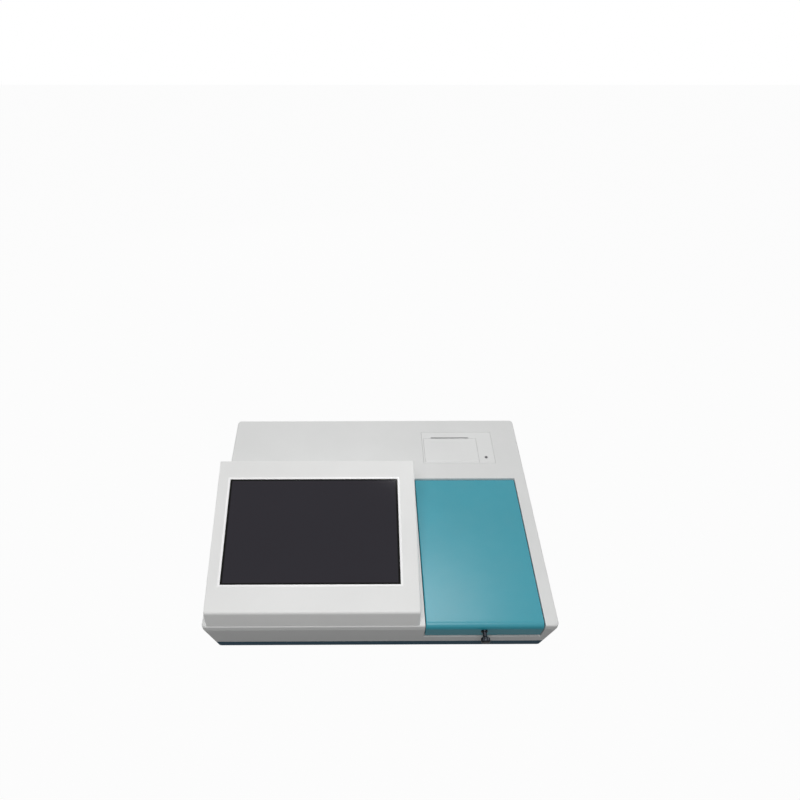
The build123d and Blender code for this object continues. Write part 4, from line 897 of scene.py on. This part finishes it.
def build_row(name, shape, material):
    """Copies of a bar or a tooth along X, turned about X as one row."""
    tree, start, end = new_group(
        "GeometryNodeTree", name,
        [("Count", "Int", 8), ("Pitch", "Float", 1 * mm), ("Size", "Vector", (mm, mm, mm)),
         ("Turn", "Float", 0.0), ("Place", "Vector", (0, 0, 0))],
        [("Geometry", "Geometry")],
    )
    if shape == "bar":
        single = add_node(tree, "GeometryNodeMeshCube", {"Size": start.outputs["Size"]})
    else:
        cone = add_node(tree, "GeometryNodeMeshCone",
                        {"Vertices": 4, "Radius Top": 0.0, "Radius Bottom": math.sqrt(0.5), "Depth": 1.0})
        square = add_node(tree, "GeometryNodeTransform",
                          {0: cone.outputs[0], "Rotation": (0, 0, math.pi / 4)})
        single = add_node(tree, "GeometryNodeTransform",
                          {0: square.outputs[0], "Scale": start.outputs["Size"]})
    count, pitch = start.outputs["Count"], start.outputs["Pitch"]
    span = calculate(tree, "MULTIPLY", pitch, calculate(tree, "SUBTRACT", count, 1.0))
    first = vector(tree, calculate(tree, "MULTIPLY", span, -0.5))
    line = add_node(tree, "GeometryNodeMeshLine",
                    {"Count": count, "Start Location": first, "Offset": vector(tree, pitch)})
    row = add_node(tree, "GeometryNodeInstanceOnPoints",
                   {"Points": line.outputs[0], "Instance": single.outputs[0]})
    tilt = vector(tree, start.outputs["Turn"])
    turned = add_node(tree, "GeometryNodeTransform", {0: row.outputs[0], "Rotation": tilt})
    end_tree(tree, end, turned.outputs[0], material, start.outputs["Place"])
    return tree


contact_row = build_row("row of contacts", "bar", made["brass"])
tooth_row = build_row("row of teeth", "tooth", made["plated_steel"])
print("trees", contact_row.name, "and", tooth_row.name)

# %% Network socket's springs
lan_middle = box_middle("lan_port")
lan_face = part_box("lan_port")[1].y
lan_depth = 7.6 * mm
lan_rise = 2.6 * mm
grow(contact_row, "lan_contacts",
     {"Count": 8, "Pitch": 1.02 * mm, "Size": (0.45 * mm, 9 * mm, 0.35 * mm), "Turn": math.radians(12),
      "Place": (lan_middle.x, lan_face - lan_depth, lan_middle.z + lan_rise)},
     "case")

# %% Springs under the tongues of the other two sockets
usb_middle = box_middle("usb_ports")
usb_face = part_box("usb_ports")[1].y
usb_depth = 6 * mm
socket_rise = 3.6 * mm
spring_rise = 0.25 * mm
for label, side in (("lower", -1), ("upper", 1)):
    spring_height = usb_middle.z + side * socket_rise + spring_rise
    grow(contact_row, f"usb_contacts_{label}",
         {"Count": 4, "Pitch": 2.3 * mm, "Size": (1.1 * mm, 6.4 * mm, 0.3 * mm),
          "Place": (usb_middle.x, usb_face - usb_depth, spring_height)},
         "case")

# %% Mains inlet's blades
inlet_middle = box_middle("power_inlet")
inlet_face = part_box("power_inlet")[1].y
inlet_depth = 9.9 * mm
blade_size = (2.1 * mm, 14.2 * mm, 4.1 * mm)
blade_spots = {"earth": (0, 3.5 * mm), "left": (-7 * mm, -2 * mm), "right": (7 * mm, -2 * mm)}
for label, (aside, above) in blade_spots.items():
    grow(contact_row, f"inlet_blade_{label}",
         {"Count": 1, "Size": blade_size,
          "Place": (inlet_middle.x + aside, inlet_face - inlet_depth, inlet_middle.z + above)},
         "case")

# %% Teeth of the tear edge
deck_slope = math.radians(8.3)
shoulder_height = 59.5 * mm
slot_gap = 2.4 * mm
tooth_size = (1.0 * mm, 0.35 * mm, 1.0 * mm)
tooth_seat = 0.1 * mm
tooth_root = 1.2 * mm
up_deck = Vector((0, math.cos(deck_slope), math.sin(deck_slope)))
off_deck = Vector((0, -math.sin(deck_slope), math.cos(deck_slope)))
door_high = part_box("printer_door")[1]
shoulder = Vector((0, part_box("housing")[0].y, shoulder_height))
slot_edge = shoulder + up_deck * ((door_high.z - shoulder.z) / math.sin(deck_slope) + slot_gap)
tear_place = slot_edge - up_deck * tooth_seat - off_deck * tooth_root
grow(tooth_row, "tear_edge",
     {"Count": 56, "Pitch": 1.0 * mm, "Size": tooth_size, "Turn": deck_slope,
      "Place": (box_middle("printer_door").x, tear_place.y, tear_place.z)},
     "case")

# %% [markdown]
# ## Small parts on the circuit boards
#
# The CAD boards carry their big blocks: connectors, chips, capacitors. Between them a real board is
# strewn with parts of a millimetre or two, in straight rows and at right angles. The tree takes a
# grid of points, keeps some of them by chance with a fixed seed, and gives each one a random size
# and a quarter turn.

# %% Strewn parts tree
chip_size = (1.6 * mm, 0.8 * mm, 0.7 * mm)
smallest_chip = (0.7, 0.7, 0.6)
largest_chip = (1.6, 1.2, 1.5)


def build_strewn_parts():
    """Small chip parts on a grid, kept and turned by chance."""
    tree, start, end = new_group(
        "GeometryNodeTree", "strewn parts",
        [("Width", "Float", 0.1), ("Length", "Float", 0.08), ("Across", "Int", 26), ("Along", "Int", 20),
         ("Share", "Float", 0.35), ("Seed", "Int", 4), ("Place", "Vector", (0, 0, 0))],
        [("Geometry", "Geometry")],
    )
    grid = add_node(tree, "GeometryNodeMeshGrid", {
        "Size X": start.outputs["Width"], "Size Y": start.outputs["Length"],
        "Vertices X": start.outputs["Across"], "Vertices Y": start.outputs["Along"]})
    kept = add_node(tree, "FunctionNodeRandomValue", data_type="BOOLEAN")
    tree.links.new(start.outputs["Share"], kept.inputs["Probability"])
    tree.links.new(start.outputs["Seed"], kept.inputs["Seed"])
    quarter = add_node(tree, "FunctionNodeRandomValue", data_type="INT")
    quarter.inputs[4].default_value, quarter.inputs[5].default_value = 0, 3
    tree.links.new(start.outputs["Seed"], quarter.inputs["Seed"])
    turn = calculate(tree, "MULTIPLY", quarter.outputs[2], math.pi / 2)
    rotation = add_node(tree, "FunctionNodeEulerToRotation", {0: vector(tree, z=turn)})
    size = add_node(tree, "FunctionNodeRandomValue", data_type="FLOAT_VECTOR")
    size.inputs[0].default_value = smallest_chip
    size.inputs[1].default_value = largest_chip
    tree.links.new(start.outputs["Seed"], size.inputs["Seed"])
    chip = add_node(tree, "GeometryNodeMeshCube", {"Size": chip_size})
    strewn = add_node(tree, "GeometryNodeInstanceOnPoints", {
        "Points": grid.outputs[0], "Selection": kept.outputs[3], "Instance": chip.outputs[0],
        "Rotation": rotation.outputs[0], "Scale": size.outputs[0]})
    end_tree(tree, end, strewn.outputs[0], made["motor_black"], start.outputs["Place"])
    return tree


strewn_parts = build_strewn_parts()
print("tree", strewn_parts.name)

# %% Parts on the two level boards
board_thickness = 1.6 * mm
part_lift = 0.3 * mm
bare_edge = 6 * mm
part_pitch = 4 * mm
for seed, board in enumerate(("main_board", "read_head_board")):
    board_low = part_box(board)[0]
    board_middle = box_middle(board)
    board_size = box_size(board)
    grow(strewn_parts, f"{board}_parts",
         {"Width": board_size.x - 2 * bare_edge, "Length": board_size.y - 2 * bare_edge, "Seed": seed,
          "Across": int(board_size.x / part_pitch), "Along": int(board_size.y / part_pitch),
          "Place": (board_middle.x, board_middle.y, board_low.z + board_thickness + part_lift)},
         "case")

# %% [markdown]
# ## The bright line round the window
#
# In the photograph a thin bright line runs round the dark window. It is the rounded white bead of
# the pod's opening, which catches the light, with a lighter white than the pod's as painted highlight.
# A curve with a bevel would pinch at the four corners.
# So the bead is built from its section instead: every point of the oval is one rectangle round the
# glass, further out or higher up, and neighbouring rectangles are joined by faces.

# %% Window bead
bead_half_width = 1.45 * mm
bead_half_height = 0.8 * mm
bead_offset = 1.6 * mm
bead_rise = 0.1 * mm
bead_sides = 24
glass_along = Vector((0, math.cos(glass_slope), math.sin(glass_slope)))
glass_off = Vector((0, -math.sin(glass_slope), math.cos(glass_slope)))


def glass_corners(margin, rise):
    """The corners of the glass's outer face, moved outwards and up."""
    points = [vertex.co for vertex in nodes["touch_glass"].data.vertices]
    top = max(point.dot(glass_off) for point in points)
    face = [point for point in points if point.dot(glass_off) > top - 0.01 * mm]
    across = (min(point.x for point in face) - margin, max(point.x for point in face) + margin)
    along = (min(point.dot(glass_along) for point in face) - margin,
             max(point.dot(glass_along) for point in face) + margin)
    order = ((0, 0), (1, 0), (1, 1), (0, 1))
    return [Vector((across[i], 0, 0)) + glass_along * along[j] + glass_off * (top + rise) for i, j in order]


def make_window_bead():
    """A closed ring with a flat oval section, mitred at the window's corners."""
    vertices, faces = [], []
    for side in range(bead_sides):
        angle = 2 * math.pi * side / bead_sides
        margin = bead_offset + bead_half_width * math.cos(angle)
        vertices += glass_corners(margin, bead_rise + bead_half_height * math.sin(angle))
        following = (side + 1) % bead_sides
        for corner in range(4):
            beyond = (corner + 1) % 4
            near, far = 4 * side, 4 * following
            faces.append((near + corner, near + beyond, far + beyond, far + corner))
    mesh = bpy.data.meshes.new("window_bead")
    mesh.from_pydata(vertices, [], faces)
    work = bmesh.new()
    work.from_mesh(mesh)
    bmesh.ops.recalc_face_normals(work, faces=work.faces)
    work.to_mesh(mesh)
    work.free()
    mesh.set_sharp_from_angle(angle=math.radians(40))
    mesh.materials.append(made["bright_bead"])
    bead = bpy.data.objects.new("window_bead", mesh)
    bpy.context.scene.collection.objects.link(bead)
    place_piece(bead, "case")


# The bead is the pod's white plastic; its shape catches the light, and its much lighter white adds a painted
# highlight.
made["bright_bead"] = moulded_plastic("bead white painted highlight", (0.96, 0.96, 0.96), 0.3, depth=0.004, tone=0.02,
                                      edge=0.0, dust=0.0, coat=0.5)
make_window_bead()
